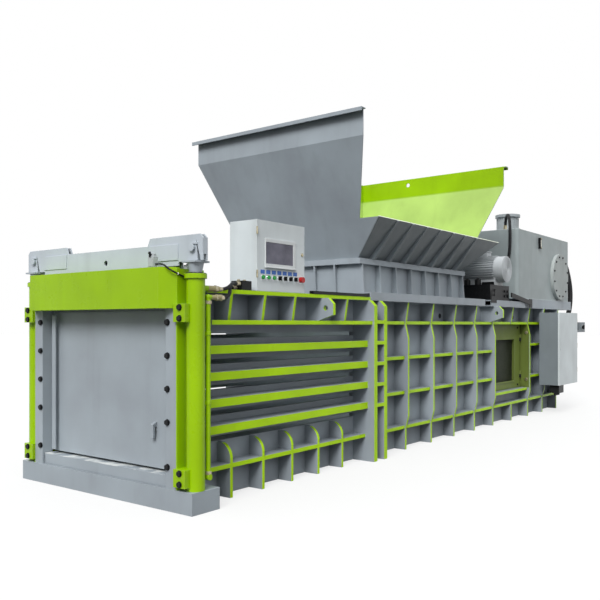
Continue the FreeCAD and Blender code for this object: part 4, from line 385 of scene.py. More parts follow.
def worn_step(tree, place):
    """A mask of the step's top, where boots have rubbed the enamel down to bright steel."""
    height = add(tree, "ShaderNodeSeparateXYZ", {}, {"Vector": place}).outputs["Z"]
    rubs = add(tree, "ShaderNodeTexNoise", {"Scale": 9.0, "Detail": 6.0}, {"Vector": place})
    # It starts just under the step's top, above the rest of the sill.
    top = add(
        tree, "ShaderNodeMapRange", {"From Min": 0.196, "From Max": 0.199}, {"Value": height}
    )
    return add(
        tree,
        "ShaderNodeMapRange",
        {"From Min": 0.46, "From Max": 0.56},
        {"Value": rubs.outputs["Fac"], "To Max": top.outputs["Result"]},
    ).outputs["Result"]


def dress(material, *names):
    """Gives CAD pieces of the right shape their finish."""
    for name in names:
        slots = nodes[name].data.materials
        slots.clear()
        slots.append(material)


gray_enamel = enamel("gray_enamel", GRAY)
green_enamel = enamel("green_enamel", GREEN, roughness=0.3)
dress(enamel("sill_enamel", GRAY, ["#d5d8d6"], [worn_step], 0.45), "sill_beam")
dress(gray_enamel, "gate_guides")
dress(green_enamel, "gate_posts", "gate_cover_beam", "cylinder_brackets")


def rod(mesh, spot, axis, radius, length, rounding=0.001, steps=24):
    """A round bar with its end edges broken."""
    turned(
        mesh,
        spot,
        axis,
        [
            (0, 0), (radius - rounding, 0), (radius, rounding),
            (radius, length - rounding), (radius - rounding, length), (0, length),
        ],
        steps,
    )


def hex_head(mesh, spot, axis, flats, height, washer=True):
    """A hexagon bolt head, chamfered on top, standing on a washer; flats is its width."""
    corner = flats / math.sqrt(3)
    foot = height * 0.22 if washer else 0.0
    if washer:
        rod(mesh, spot, axis, corner * 1.12, foot, foot * 0.3, 20)
    turned(
        mesh,
        spot,
        axis,
        [(0, foot), (corner, foot), (corner, height * 0.86), (corner * 0.86, height), (0, height)],
        6,
    )


# Black oxide on the bolts: a thin blue-black conversion coat, oiled, so it is dark and dull.
black_oxide = plain_finish(
    "black_oxide_steel", "#0e0f10", "#1b1c1e", 40, 0.45, 0.2, specular=0.2
)
guide_face, guide_line = -0.1035, 0.635
bracket_face, bracket_line = -0.1255, 0.757
bolts = bmesh.new()
for sign in (1, -1):
    for height in (1.091, 0.898, 0.705, 0.512, 0.253):
        hex_head(bolts, (guide_face, sign * guide_line, height), (-1, 0, 0), 0.030, 0.016)
    for height in (0.1708, 0.2332, 1.1128, 1.1752):
        hex_head(bolts, (bracket_face, sign * bracket_line, height), (-1, 0, 0), 0.030, 0.013)
piece("gate_frame_bolts", bolts, black_oxide, "frame", ["frame_bolts"])


# ---- Lift cylinders: honed tube welded to its foot, with a gland nut screwed into the top.
# A rigid pipe carries oil to the foot, held by two small clamps.
def block(mesh, low, high, rounding=0.0, segments=2):
    """A block between two corners, with its edges rounded."""
    low, high = Vector(low), Vector(high)
    made = bmesh.ops.create_cube(mesh, size=1)["verts"]
    bmesh.ops.scale(mesh, vec=high - low, verts=made)
    bmesh.ops.translate(mesh, vec=(low + high) / 2, verts=made)
    if rounding:
        edges = list({edge for vert in made for edge in vert.link_edges})
        bmesh.ops.bevel(
            mesh,
            geom=edges,
            offset=rounding,
            segments=segments,
            profile=0.5,
            affect="EDGES",
            material=-1,
        )


def oil_unions(tree, place):
    """A mask of the ports and pipe ends, which are left in bare yellow-plated steel."""
    split = add(tree, "ShaderNodeSeparateXYZ", {}, {"Vector": place})
    high = add(
        tree,
        "ShaderNodeMapRange",
        {"From Min": 1.203, "From Max": 1.205},
        {"Value": split.outputs["Z"]},
    )
    return add(
        tree,
        "ShaderNodeMapRange",
        {"From Min": 0.058, "From Max": 0.060},
        {"Value": split.outputs["X"], "To Max": high.outputs["Result"]},
    ).outputs["Result"]


# The paint shop masks the ports and the pipe's ends, whose plating shows as a warm gray.
piped_enamel = enamel("green_enamel_plated_ports", GREEN, ["#a39a72"], [oil_unions], 0.3)
dress(piped_enamel, "gate_cylinders", "cylinder_pipes")
cylinder_x, cylinder_y = -0.0325, 0.792
pipe_x, pipe_y, elbow_z = 0.0385, 0.821, 1.236
clamp_height = 0.024
glands = bmesh.new()
clamps = bmesh.new()
unions = bmesh.new()
for sign in (1, -1):
    turned(
        glands,
        (cylinder_x, sign * cylinder_y, 1.369),
        (0, 0, 1),
        [(0.0285, 0), (0.064, 0), (0.060, 0.004), (0.046, 0.006), (0.034, 0.006), (0.0285, 0.004),
         (0.0285, 0)],
        48,
    )
    for low in (0.614, 1.014):
        rod(clamps, (pipe_x, sign * pipe_y, low), (0, 0, 1), 0.0185, clamp_height, 0.002)
        # Its foot reaches back from the pipe to the cylinder's barrel.
        block(
            clamps,
            (0.012, sign * 0.811 - 0.008, low),
            (0.040, sign * 0.811 + 0.008, low + clamp_height),
            0.002,
        )
    # Bite-type elbow and nuts at the pipe's two ends.
    for along in (0.060, 0.098):
        rod(unions, (pipe_x + along, sign * pipe_y, elbow_z), (1, 0, 0), 0.0195, 0.018, 0.002, 6)
    rod(unions, (pipe_x, sign * pipe_y, 1.196), (0, 0, 1), 0.0205, 0.020, 0.002, 6)
    rod(unions, (0.118, sign * cylinder_y, 1.288), (1, 0, 0), 0.0215, 0.020, 0.002, 6)
    rod(unions, (pipe_x, sign * pipe_y, 0.210), (0, 0, 1), 0.0205, 0.020, 0.002, 6)
# The rod is hard-chromed and ground, bright as a mirror up to its head at 1.378 m. The cone
# above it, which carries the beam, is enamelled.
rod_finish, tree, shader, place = bare_material("chromed_rod_enamelled_head", 0.3)
height = add(tree, "ShaderNodeSeparateXYZ", {}, {"Vector": place}).outputs["Z"]
plated = add(
    tree, "ShaderNodeMapRange", {"From Min": 1.379, "From Max": 1.377}, {"Value": height}
).outputs["Result"]
finish = add(
    tree,
    "ShaderNodeMix",
    {"data_type": "RGBA"},
    {
        "Factor": plated,
        6: mottled(tree, place, "#9aa2a8", "#a8b0b6", 2.2, 6.0),
        7: mottled(tree, place, "#c4c8ca", "#d4d7d8", 20),
    },
)
tree.links.new(finish.outputs[2], shader.inputs["Base Color"])
tree.links.new(plated, shader.inputs["Metallic"])
sheen = add(
    tree, "ShaderNodeMapRange", {"To Min": 0.40, "To Max": 0.16}, {"Value": plated}
)
tree.links.new(sheen.outputs["Result"], shader.inputs["Roughness"])
tree.links.new(grain(tree, place, 1500, 0.0001), shader.inputs["Normal"])
dress(rod_finish, "gate_rods")
piece("gland_nuts", glands, black_oxide, "frame")
piece("pipe_clamps", clamps, green_enamel, "frame")
piece("pipe_unions", unions, zinc, "frame")

# ---- Gate: a plate door under a lift beam, whose ears sit on the rods' eyes. Each pin has a
# round head and a keeper plate, and a flat bar is welded down the door's left edge.
dress(gray_enamel, "gate_door")
# The lift beam's coat is a paler gray, over the same primer.
pale_enamel = enamel("pale_gray_enamel", "#b8bfc6")
dress(pale_enamel, "lift_beam")
door_strip = bmesh.new()
block(door_strip, (-0.0695, 0.520, 0.230), (-0.0635, 0.560, 1.140), 0.0015)
piece("door_strip", door_strip, gray_enamel, "gate")
# A doubler plate is welded to the beam's face at each ear.
ear_y, ear_half_width = 0.5425, 0.1275
gate_trim = bmesh.new()
for sign in (1, -1):
    block(
        gate_trim,
        (-0.0575, sign * ear_y - ear_half_width, 1.452),
        (-0.0515, sign * ear_y + ear_half_width, 1.546),
        0.002,
    )
piece("gate_trim", gate_trim, pale_enamel, "gate")
keepers = bmesh.new()
for sign in (1, -1):
    rod(keepers, (-0.0715, sign * cylinder_y, 1.518), (1, 0, 0), 0.022, 0.005, 0.001, 32)
    block(
        keepers,
        (-0.0585, sign * 0.800 - 0.030, 1.536),
        (-0.0515, sign * 0.800 + 0.030, 1.548),
        0.001,
    )
piece("pin_keepers", keepers, pale_enamel, "gate")


# ---- Bale chamber and press body: gray weldments whose ribs, rails, flanges and bars carry
# green on the edges that face outwards, brushed on after the gray coat.
wall_skin = 0.605


def outer_edges(tree, place):
    """A mask of the faces that look sideways and stand further out than the wall's skin."""
    normal = add(tree, "ShaderNodeTexCoord").outputs["Normal"]
    sides = []
    for vector, limit, blur in ((normal, 0.3, 0.05), (place, wall_skin, 0.002)):
        split = add(tree, "ShaderNodeSeparateXYZ", {}, {"Vector": vector})
        size = add(tree, "ShaderNodeMath", {"operation": "ABSOLUTE"}, {0: split.outputs["Y"]})
        side = add(
            tree,
            "ShaderNodeMapRange",
            {"From Min": limit - blur, "From Max": limit + blur},
            {"Value": size.outputs[0]},
        )
        sides.append(side.outputs["Result"])
    return add(
        tree, "ShaderNodeMath", {"operation": "MULTIPLY"}, {0: sides[0], 1: sides[1]}
    ).outputs[0]


def hatch_bay(tree, place):
    """A mask of the bay round the inspection hatch, which gets the hatch's olive, partly its own
    colour and partly painted shade.
    """
    within = None
    split = add(tree, "ShaderNodeSeparateXYZ", {}, {"Vector": place})
    # The bay's middle, and how far it reaches each way, along each axis.
    for axis, middle, reach in (("X", 4.957, 0.4965), ("Y", -0.620, 0.105), ("Z", 0.7075, 0.370)):
        inside = add(
            tree,
            "ShaderNodeMath",
            {"operation": "COMPARE", 1: middle, 2: reach},
            {0: split.outputs[axis]},
        ).outputs[0]
        if within is not None:
            inside = add(
                tree, "ShaderNodeMath", {"operation": "MULTIPLY"}, {0: within, 1: inside}
            ).outputs[0]
        within = inside
    return within


# The hatch's olive is partly its own colour and partly painted shade, as the hatch stands in shade.
# The edges' green is their own paint, made brighter as painted light on the faces that look out.
SHADED_HATCH_GREEN = "#6a7838"
LIT_EDGE_GREEN = "#b0dc00"
edged_enamel = enamel(
    "gray_enamel_green_edges", GRAY, [SHADED_HATCH_GREEN, LIT_EDGE_GREEN], [hatch_bay, outer_edges], 0.36
)
dress(
    edged_enamel,
    "chamber_headers",
    "chamber_skirts",
    "chamber_bars",
    "joint_flanges",
    "press_wall_right",
    "press_wall_left",
    "lifting_lugs",
)
dress(gray_enamel, "floor_plates", "chamber_roof", "press_roof", "rear_plate", "deck_frame")
# Two plugged holes in the press header.
plugs = bmesh.new()
for x in (3.413, 5.268):
    rod(plugs, (x, -0.596, 1.160), (0, -1, 0), 0.024, 0.004, 0.001, 28)
piece("header_plugs", plugs, black_oxide, "frame")

# ---- Ram: a welded box on a hard-chromed rod, pushed by a honed tube cylinder. The chrome is
# ground and polished; the box and the cylinder have a dull primer, made very dark as painted shade
# for the chamber's inside.
chrome = plain_finish("hard_chrome", "#c4c8ca", "#d4d7d8", 20, 0.16, 1.0, 1800, 0.00005)
dress(chrome, "ram_rod")
dress(enamel("dark_primer_painted_shade", "#363a36", roughness=0.5), "ram_head", "ram_cylinder")

# ---- Inspection hatch: a green steel frame on two pin hinges, with square wire mesh of 17 mm
# pitch clamped in its window by flat strips, and two bolts that hold it shut.
# The hatch's olive is partly its own colour and partly painted shade.
shaded_hatch_green = enamel("hatch_enamel_painted_shade", SHADED_HATCH_GREEN, roughness=0.42)
dress(shaded_hatch_green, "inspection_door")
dress(black_oxide, "inspection_hinges")
# The mesh is woven from wire 1.6 mm thick; its dark olive is painted shade, for the dark chamber
# seen through it.
mesh_wide, mesh_high, wire_thickness = 0.700, 0.493, 0.0016
wires = bmesh.new()
bmesh.ops.create_grid(wires, x_segments=41, y_segments=29, size=0.5)
bmesh.ops.scale(wires, vec=(mesh_wide, mesh_high, 1), verts=wires.verts)
bmesh.ops.rotate(wires, matrix=Matrix.Rotation(math.pi / 2, 3, "X"), verts=wires.verts)
bmesh.ops.translate(wires, vec=(4.8935, -0.599, 0.6675), verts=wires.verts)
bmesh.ops.wireframe(
    wires, faces=wires.faces, thickness=wire_thickness, use_replace=True, use_boundary=True,
    use_even_offset=True,
)
shaded_mesh_wire = plain_finish("enamelled_wire_painted_shade", "#2a3018", "#3f4725", 90, 0.5, 0.0)
piece("hatch_mesh", wires, shaded_mesh_wire, "hatch", ["inspection_mesh"], False)
door_face, strip_face = -0.6213, -0.6285
strips = bmesh.new()
for left, right, low, high in (
    (5.2335, 5.2585, 0.411, 0.924),
    (4.5285, 4.5535, 0.411, 0.924),
    (4.5535, 5.2335, 0.904, 0.924),
    (4.5535, 5.2335, 0.411, 0.431),
):
    block(strips, (left, strip_face, low), (right, door_face, high), 0.0015)
# A bent flat-bar handle near the free edge, 6 mm thick.
handle_left, handle_right, grip_back = 4.4925, 4.5125, -0.6493
for height in (0.600, 0.740):
    block(
        strips, (handle_left, grip_back, height), (handle_right, door_face, height + 0.006), 0.0015
    )
block(strips, (handle_left, grip_back - 0.006, 0.600), (handle_right, grip_back, 0.746), 0.0015)
piece("hatch_strips", strips, shaded_hatch_green, "hatch")
rib_bolts = bmesh.new()
for height in (0.982, 0.433):
    hex_head(rib_bolts, (5.4525, -0.692, height), (-1, 0, 0), 0.030, 0.016)
piece("rib_bolts", rib_bolts, zinc, "frame")
corner_bolts = bmesh.new()
for x in (4.5, 5.35):
    for height in (0.375, 1.040):
        hex_head(corner_bolts, (x, door_face, height), (0, -1, 0), 0.019, 0.011)
piece("hatch_bolts", corner_bolts, black_oxide, "hatch")


# ---- Hopper: sheet folded and seam-welded, gray outside and green on the faces that shed
# the waste, with the rolled top edge left gray.
def inner_face(axis, sign):
    """Gives the mask of a wall's faces that look into the hopper, along one axis."""

    def mask(tree, place):
        normal = add(tree, "ShaderNodeTexCoord").outputs["Normal"]
        split = add(tree, "ShaderNodeSeparateXYZ", {}, {"Vector": normal})
        inward = add(
            tree, "ShaderNodeMath", {"operation": "MULTIPLY", 1: sign}, {0: split.outputs[axis]}
        )
        return add(
            tree,
            "ShaderNodeMapRange",
            {"From Min": 0.15, "From Max": 0.25},
            {"Value": inward.outputs[0]},
        ).outputs["Result"]

    return mask


def painted_slope_light(inner):
    """Gives the mask of the inner faces under the upper fold, which are painted paler as painted
    light for the sky that these sloping faces catch.
    """

    def mask(tree, place):
        height = add(tree, "ShaderNodeSeparateXYZ", {}, {"Vector": place}).outputs["Z"]
        return add(
            tree,
            "ShaderNodeMapRange",
            {"From Min": 2.530, "From Max": 2.505},
            {"Value": height, "To Max": inner(tree, place)},
        ).outputs["Result"]

    return mask


def painted_underside_shade(tree, place):
    """A mask of the low wall's undersides, painted a darker gray as painted shade."""
    normal = add(tree, "ShaderNodeTexCoord").outputs["Normal"]
    upward = add(tree, "ShaderNodeSeparateXYZ", {}, {"Vector": normal}).outputs["Z"]
    height = add(tree, "ShaderNodeSeparateXYZ", {}, {"Vector": place}).outputs["Z"]
    low = add(tree, "ShaderNodeMapRange", {"From Min": 1.922, "From Max": 1.918}, {"Value": height})
    return add(
        tree,
        "ShaderNodeMapRange",
        {"From Min": -0.25, "From Max": -0.35},
        {"Value": upward, "To Max": low.outputs["Result"]},
    ).outputs["Result"]


def painted_rim_highlight(tree, place):
    """A mask of the low wall's cut edge, painted pale as a painted highlight where it catches the
    light.
    """
    height = add(tree, "ShaderNodeSeparateXYZ", {}, {"Vector": place}).outputs["Z"]
    return add(
        tree, "ShaderNodeMapRange", {"From Min": 1.917, "From Max": 1.920}, {"Value": height}
    ).outputs["Result"]


for wall, axis, sign in (
    ("hopper_front_wall", "X", 1.0),
    ("hopper_rear_wall", "X", -1.0),
    ("hopper_left_wall", "Y", -1.0),
    ("hopper_right_wall", "Y", 1.0),
):
    inner = inner_face(axis, sign)
    # The second, paler green is painted light on the sloping inner faces below the upper fold.
    codes, masks = [GREEN, "#a5c264"], [inner, painted_slope_light(inner)]
    # The low wall also gets painted shade on its undersides and a painted highlight along its top
    # edge.
    if wall == "hopper_right_wall":
        codes += ["#73797c", "#dfe6cf"]
        masks += [painted_underside_shade, painted_rim_highlight]
    dress(enamel(wall + "_enamel", GRAY, codes, masks), wall)
dress(gray_enamel, "hopper_base")

# ---- Oil tank: pressed and welded sheet with rounded corners in a smoke-green gray enamel.
# Its round cover is bolted on a gasket, and the breather stands on its top.
tank_enamel = enamel("tank_enamel", "#9ba4a4", roughness=0.38)
# The cover is a separate plate, in a duller coat that is easier to touch up.
cover_enamel = enamel("cover_enamel", "#a7adab", roughness=0.5)
dress(cover_enamel, "manhole_cover")
tank_front, tank_rear, tank_side = 5.1605, 6.9855, 0.704
tank_bottom, tank_top, corner_radius = 1.378, 2.180, 0.045
tank = bmesh.new()
block(tank, (tank_front, -tank_side, tank_bottom), (tank_rear, tank_side, tank_top))
uprights = [edge for edge in tank.edges if abs(edge.verts[0].co.z - edge.verts[1].co.z) > 0.5]
bmesh.ops.bevel(
    tank, geom=uprights, offset=corner_radius, segments=8, profile=0.5, affect="EDGES",
    material=-1,
)
rims = [edge for edge in tank.edges if edge.verts[0].co.z > 2.1 and edge.verts[1].co.z > 2.1]
bmesh.ops.bevel(
    tank, geom=rims, offset=0.006, segments=3, profile=0.5, affect="EDGES", material=-1
)
turned(
    tank,
    (5.4905, -0.420, 2.176),
    (0, 0, 1),
    [(0, 0), (0.034, 0), (0.034, 0.010), (0.024, 0.014), (0.024, 0.044), (0, 0.044)],
    32,
)
piece("oil_tank_shell", tank, tank_enamel, "frame", ["oil_tank"])
small_bolts = bmesh.new()
cover_x, cover_z, bolt_circle = 6.5495, 1.690, 0.258
for number in range(12):
    turn = math.radians(15 + 30 * number)
    across, up = bolt_circle * math.cos(turn), bolt_circle * math.sin(turn)
    hex_head(small_bolts, (cover_x + across, -0.742, cover_z + up), (0, -1, 0), 0.019, 0.011)
piece("cover_bolts", small_bolts, black_oxide, "frame", ["manhole_bolts"])
# The fillet welds along the tank's foot stop at its rounded corners.
welds = bmesh.new()
side_run = tank_rear - tank_front - 2 * corner_radius
end_run = 2 * (tank_side - corner_radius)
for x in (tank_front, tank_rear):
    rod(welds, (x, corner_radius - tank_side, 1.379), (0, 1, 0), 0.005, end_run, 0.002, 10)
for y in (-tank_side, tank_side):
    rod(welds, (tank_front + corner_radius, y, 1.379), (1, 0, 0), 0.005, side_run, 0.002, 10)
piece("tank_welds", welds, tank_enamel, "frame")

# Level gauge: a clear tube over a white scale in a black moulded body, on two hollow bolts.
# The moulded nylon is black with a soft sheen and a spark-eroded grain.
moulded = plain_finish(
    "moulded_black_plastic", "#0b0c0d", "#141517", 50, 0.42, 0.0, 1600, specular=0.18
)
dress(moulded, "level_gauge")
window = bmesh.new()
block(window, (5.840, -0.7325, 2.022), (5.861, -0.730, 2.108), 0.001)
scale_card = plain_finish("gauge_scale", "#e3e2d2", "#efeee2", 30, 0.2)
piece("gauge_scale", window, scale_card, "frame")
gauge_nuts = bmesh.new()
for height in (2.010, 2.120):
    hex_head(gauge_nuts, (5.8505, -0.730, height), (0, -1, 0), 0.016, 0.007, False)
piece("gauge_nuts", gauge_nuts, zinc, "frame")


# Return filter: a die-cast head with a screw cap, bolted through its foot. The casting's skin
# shows through its thin enamel as a pebbled grain of 1.4 mm.
def leaning_block(mesh, low, high, rounding, segments, angle, axis, place):
    """A block that is turned about an axis through the origin, then set in its place."""
    first = len(mesh.verts)
    block(mesh, low, high, rounding, segments)
    mesh.verts.ensure_lookup_table()
    made = mesh.verts[first:]
    bmesh.ops.rotate(mesh, matrix=Matrix.Rotation(angle, 3, axis), verts=made)
    bmesh.ops.translate(mesh, vec=place, verts=made)


cast_gray = plain_finish("cast_aluminium_enamel", "#8b9193", "#9ba1a3", 12, 0.45, 0.0, 700, 0.0006)
dress(cast_gray, "return_filter")
filter_x, filter_y, foot_circle = 6.1185, -0.200, 0.142
filter_parts = bmesh.new()
for number in range(6):
    turn = math.radians(30 + 60 * number)
    across, over = foot_circle * math.cos(turn), foot_circle * math.sin(turn)
    hex_head(filter_parts, (filter_x + across, filter_y + over, 2.200), (0, 0, 1), 0.016, 0.010)
    leaning_block(
        filter_parts,
        (0.128, -0.004, 2.215),
        (0.140, 0.004, 2.440),
        0.002,
        2,
        math.radians(60 * number),
        "Z",
        (filter_x, filter_y, 0),
    )
turned(
    filter_parts,
    (filter_x, filter_y, 2.484),
    (0, 0, 1),
    [(0, 0), (0.060, 0), (0.060, 0.010), (0.052, 0.016), (0, 0.016)],
    8,
)
piece("filter_fittings", filter_parts, cast_gray, "frame")

# ---- Pump and motor: a finned cast motor with a sheet cowl over its fan, a terminal box on
# top, and a gear pump on the far end. Its enamel is a pale gray, baked on and smooth.
motor_enamel = enamel("motor_enamel", "#bfc4c6", roughness=0.36)
dress(motor_enamel, "pump_motor")
motor_x, motor_z = 4.5885, 1.670
fins = bmesh.new()
for number in range(36):
    leaning_block(
        fins,
        (0.131, -0.700, -0.0018),
        (0.153, -0.345, 0.0018),
        0.0008,
        1,
        math.radians(10 * number),
        "Y",
        (motor_x, 0, motor_z),
    )
# The terminal box and its screwed lid.
block(fins, (4.5285, -0.600, 1.800), (4.6485, -0.480, 1.862), 0.006)
block(fins, (4.5225, -0.606, 1.862), (4.6545, -0.474, 1.872), 0.003)
for x in (4.5325, 4.6445):
    for y in (-0.596, -0.484):
        hex_head(fins, (x, y, 1.872), (0, 0, 1), 0.008, 0.005, False)
# The cowl's air grille, in rings of 6 mm wire.
for radius in (0.030, 0.052, 0.074, 0.096, 0.118):
    turned(
        fins,
        (motor_x, -0.800, motor_z),
        (0, -1, 0),
        [(radius, 0), (radius + 0.006, 0), (radius + 0.006, 0.004), (radius, 0.004), (radius, 0)],
        48,
    )
piece("motor_fins", fins, motor_enamel, "frame")

# ---- Valve block: a black steel manifold with solenoid valves, their coils held by a nut,
# each with its plug, and the lines' nuts on its end.
dress(black_oxide, "valve_block")
coils = bmesh.new()
for y in (-0.322, -0.442, -0.562):
    hex_head(coils, (4.3733, y, 1.558), (0, 0, 1), 0.024, 0.012)
    block(coils, (4.3993, y - 0.014, 1.512), (4.4293, y + 0.014, 1.548), 0.003)
block(coils, (4.470, -0.700, 1.500), (4.700, -0.560, 1.536), 0.006)
for x in (4.45, 4.72, 4.80):
    hex_head(coils, (x, -0.720, 1.440), (0, -1, 0), 0.024, 0.012)
    hex_head(coils, (x, -0.720, 1.385), (0, -1, 0), 0.024, 0.012)
piece("valve_coils", coils, moulded, "frame")

# Hose guards: black moulded straps and a channel, bolted over the deck's side, with one that
# leans down from the block's end, and a strip under the hopper along the chamber's header.
guards = bmesh.new()
block(guards, (1.166, -0.746, 1.294), (1.900, -0.708, 1.317), 0.004)
block(guards, (4.2865, -0.7525, 1.306), (4.4305, -0.746, 1.376), 0.003)
block(guards, (4.376, -0.7525, 1.376), (4.4305, -0.7465, 1.436), 0.003)
block(guards, (5.389, -0.7525, 1.272), (5.487, -0.746, 1.374), 0.003)
leaning_block(
    guards,
    (-0.300, -0.0150, -0.026),
    (0.300, 0.0, 0.026),
    0.004,
    2,
    math.radians(7.3),
    "Y",
    (5.1285, -0.746, 1.3655),
)
piece("hose_guards", guards, moulded, "frame")

# ---- Control cabinet: folded sheet, powder-coated in a fine-textured light gray, its hinged
# door carrying the screen and the row of buttons, with a blank label plate over each.
cabinet_coat = enamel("cabinet_powder_coat", "#d2d8d9", roughness=0.5)
dress(cabinet_coat, "control_cabinet", "control_door")
# The screen's bezel is moulded ABS, a light gray with a faint cloudiness and a satin skin.
screen_left, screen_right, screen_low, screen_high = 0.649, 0.934, 1.476, 1.617
bezel_front, bezel_back = -0.745, -0.709
bezel = bmesh.new()
for left, right, low, high in (
    (0.6425, screen_left, 1.454, 1.641),
    (screen_right, 0.9625, 1.454, 1.641),
    (screen_left, screen_right, screen_high, 1.641),
    (screen_left, screen_right, 1.454, screen_low),
):
    block(bezel, (left, bezel_front, low), (right, bezel_back, high), 0.0015)
block(bezel, (0.6425, -0.756, 1.448), (0.9625, -0.739, 1.455), 0.002)
bezel_plastic = plain_finish("bezel_plastic", "#c9cdcd", "#d3d6d6", 8, 0.38)
piece("screen_bezel", bezel, bezel_plastic, "control_lid", ["touch_screen"])
glass = bmesh.new()
block(
    glass, (screen_left, -0.7425, screen_low), (screen_right, bezel_back, screen_high)
)
# Coated glass over a dark display: gray with a violet cast, and clear reflections.
screen_glass = plain_finish("screen_glass", "#4b4a58", "#6d6c7b", 9, 0.09, 0.0, 400, 0.00002)
piece("screen_glass", glass, screen_glass, "control_lid")

# The switches stand 57 mm apart on the door, in one row.
door_front, button_z, button_pitch, first_button = -0.739, 1.385, 0.057, 0.6195
switches = {
    name: first_button + button_pitch * place
    for place, name in enumerate(
        [f"push_button_{number}" for number in (1, 2, 3)]
        + [f"selector_{number}" for number in (1, 2, 3, 4)]
    )
}
# The buttons are moulded in polycarbonate, dyed through: even, bright and glossy.
button_plastics = {
    "push": plain_finish("button_green", "#1c8f37", "#23a141", 50, 0.25, 0.0, 1600, 0.0001),
    "stop": plain_finish("button_red", "#a3181a", "#b51f20", 50, 0.25, 0.0, 1600, 0.0001),
}
rings = bmesh.new()
plates = bmesh.new()
for name, x in switches.items():
    dress(button_plastics["push"] if name.startswith("push") else moulded, name)
    turned(
        rings,
        (x, door_front, button_z),
        (0, -1, 0),
        [(0.0155, 0), (0.019, 0), (0.019, 0.003), (0.0175, 0.005), (0.0155, 0.005), (0.0155, 0)],
        32,
    )
    block(plates, (x - 0.021, -0.7405, 1.408), (x + 0.021, door_front, 1.434), 0.0005, 1)
turned(
    rings,
    (1.0185, door_front, button_z),
    (0, -1, 0),
    [(0.0210, 0), (0.027, 0), (0.027, 0.002), (0.025, 0.004), (0.0210, 0.004), (0.0210, 0)],
    32,
)
dress(button_plastics["stop"], "emergency_stop")
piece("switch_rings", rings, chrome, "control_lid")
# Engraving laminate is an even blue, satin from its rolled skin, and has nothing cut in it.
label_blue = plain_finish("engraving_laminate_blue", "#2f5fae", "#3c6cba", 30, 0.35)
piece("label_plates", plates, label_blue, "control_lid")
lid_fittings = bmesh.new()
for height in (1.380, 1.660):
    rod(lid_fittings, (0.5625, -0.742, height), (0, 0, 1), 0.006, 0.050, 0.001, 16)
turned(
    lid_fittings,
    (1.040, door_front, 1.560),
    (0, -1, 0),
    [(0, 0), (0.012, 0), (0.012, 0.004), (0.010, 0.006), (0, 0.006)],
    24,
)
piece("control_lid_fittings", lid_fittings, zinc, "control_lid")

# ---- Electric cabinet: a folded shell in a darker gray, which is partly painted shade for its shaded end, with the control cabinet's coat on its door.
# Cables enter by glands under its box, whose black is partly painted shade, and the main isolator
# has a handle.
dress(cabinet_coat, "electric_door")


def gland_box_and_shade(tree, place):
    """A mask of the box under the shell, black partly as its own colour and partly as painted shade
    under the cabinet.
    """
    height = add(tree, "ShaderNodeSeparateXYZ", {}, {"Vector": place}).outputs["Z"]
    return add(
        tree, "ShaderNodeMapRange", {"From Min": 0.350, "From Max": 0.348}, {"Value": height}
    ).outputs["Result"]


shaded_shell_coat = enamel("electric_shell_coat_painted_shade", "#7c8488", ["#17181a"], [gland_box_and_shade], 0.45)
dress(shaded_shell_coat, "electric_cabinet")
cable_glands = bmesh.new()
for x in (5.830, 5.887, 5.944):
    turned(
        cable_glands,
        (x, -0.905, 0.255),
        (0, 0, -1),
        [
            (0, 0), (0.020, 0), (0.020, 0.008), (0.017, 0.008), (0.017, 0.022), (0.011, 0.032),
            (0, 0.032),
        ],
        12,
    )
piece("cable_glands", cable_glands, moulded, "frame")
isolator_x, isolator_z = 6.7125, 1.0415
plate = bmesh.new()
turned(
    plate,
    (isolator_x, -0.960, isolator_z),
    (0, -1, 0),
    [(0, 0), (0.038, 0), (0.038, 0.002), (0.036, 0.003), (0, 0.003)],
    40,
)
piece("isolator_plate", plate, cast_gray, "frame")
handle = bmesh.new()
rod(handle, (isolator_x, -0.963, isolator_z), (0, -1, 0), 0.022, 0.016, 0.003, 32)
block(
    handle,
    (isolator_x - 0.008, -0.992, isolator_z - 0.028),
    (isolator_x + 0.008, -0.975, isolator_z + 0.028),
    0.003,
)
piece("isolator_handle", handle, moulded, "frame")
hinges = bmesh.new()
for height in (0.480, 0.784, 1.090):
    rod(hinges, (6.447, -0.974, height), (0, 0, 1), 0.007, 0.060, 0.001, 16)
piece("electric_lid_hinges", hinges, zinc, "electric_lid")

# ---- Limit switch: a die-cast case on a bent steel foot, its roller lever tripped by the
# rising gate. A smaller plunger switch stands on the right-hand post.
switch_x, switch_y = -0.1255, -0.534
switch_body = bmesh.new()
block(switch_body, (-0.1475, -0.580, 1.408), (-0.1035, -0.488, 1.412), 0.001)
block(switch_body, (-0.1455, -0.557, 1.412), (-0.1055, -0.511, 1.476), 0.004)
block(switch_body, (-0.1475, -0.554, 1.417), (-0.1450, -0.514, 1.470), 0.001)
turned(
    switch_body,
    (switch_x, switch_y, 1.476),
    (0, 0, 1),
    [(0, 0), (0.017, 0), (0.017, 0.014), (0.014, 0.017), (0, 0.017)],
    24,
)
for y in (-0.572, -0.496):
    hex_head(switch_body, (switch_x, y, 1.412), (0, 0, 1), 0.010, 0.006)
block(switch_body, (-0.0215, -0.713, 1.400), (0.0125, -0.679, 1.426), 0.003)
rod(switch_body, (-0.0045, -0.696, 1.426), (0, 0, 1), 0.008, 0.008, 0.002, 20)
# Enamelled zinc casting: light gray, even, with a satin skin.
cast_pale = plain_finish("die_cast_zinc_enamel", "#9ea3a5", "#b0b5b6", 25, 0.4)
piece("limit_switch_body", switch_body, cast_pale, "frame", ["limit_switch"])
lever = bmesh.new()
block(lever, (-0.1535, -0.540, 1.470), (-0.1500, -0.528, 1.498), 0.001)
rod(lever, (-0.1500, switch_y, 1.484), (1, 0, 0), 0.006, 0.014, 0.001, 16)
rod(lever, (-0.1560, switch_y, 1.494), (1, 0, 0), 0.009, 0.008, 0.001, 20)
piece("limit_switch_lever", lever, moulded, "frame")
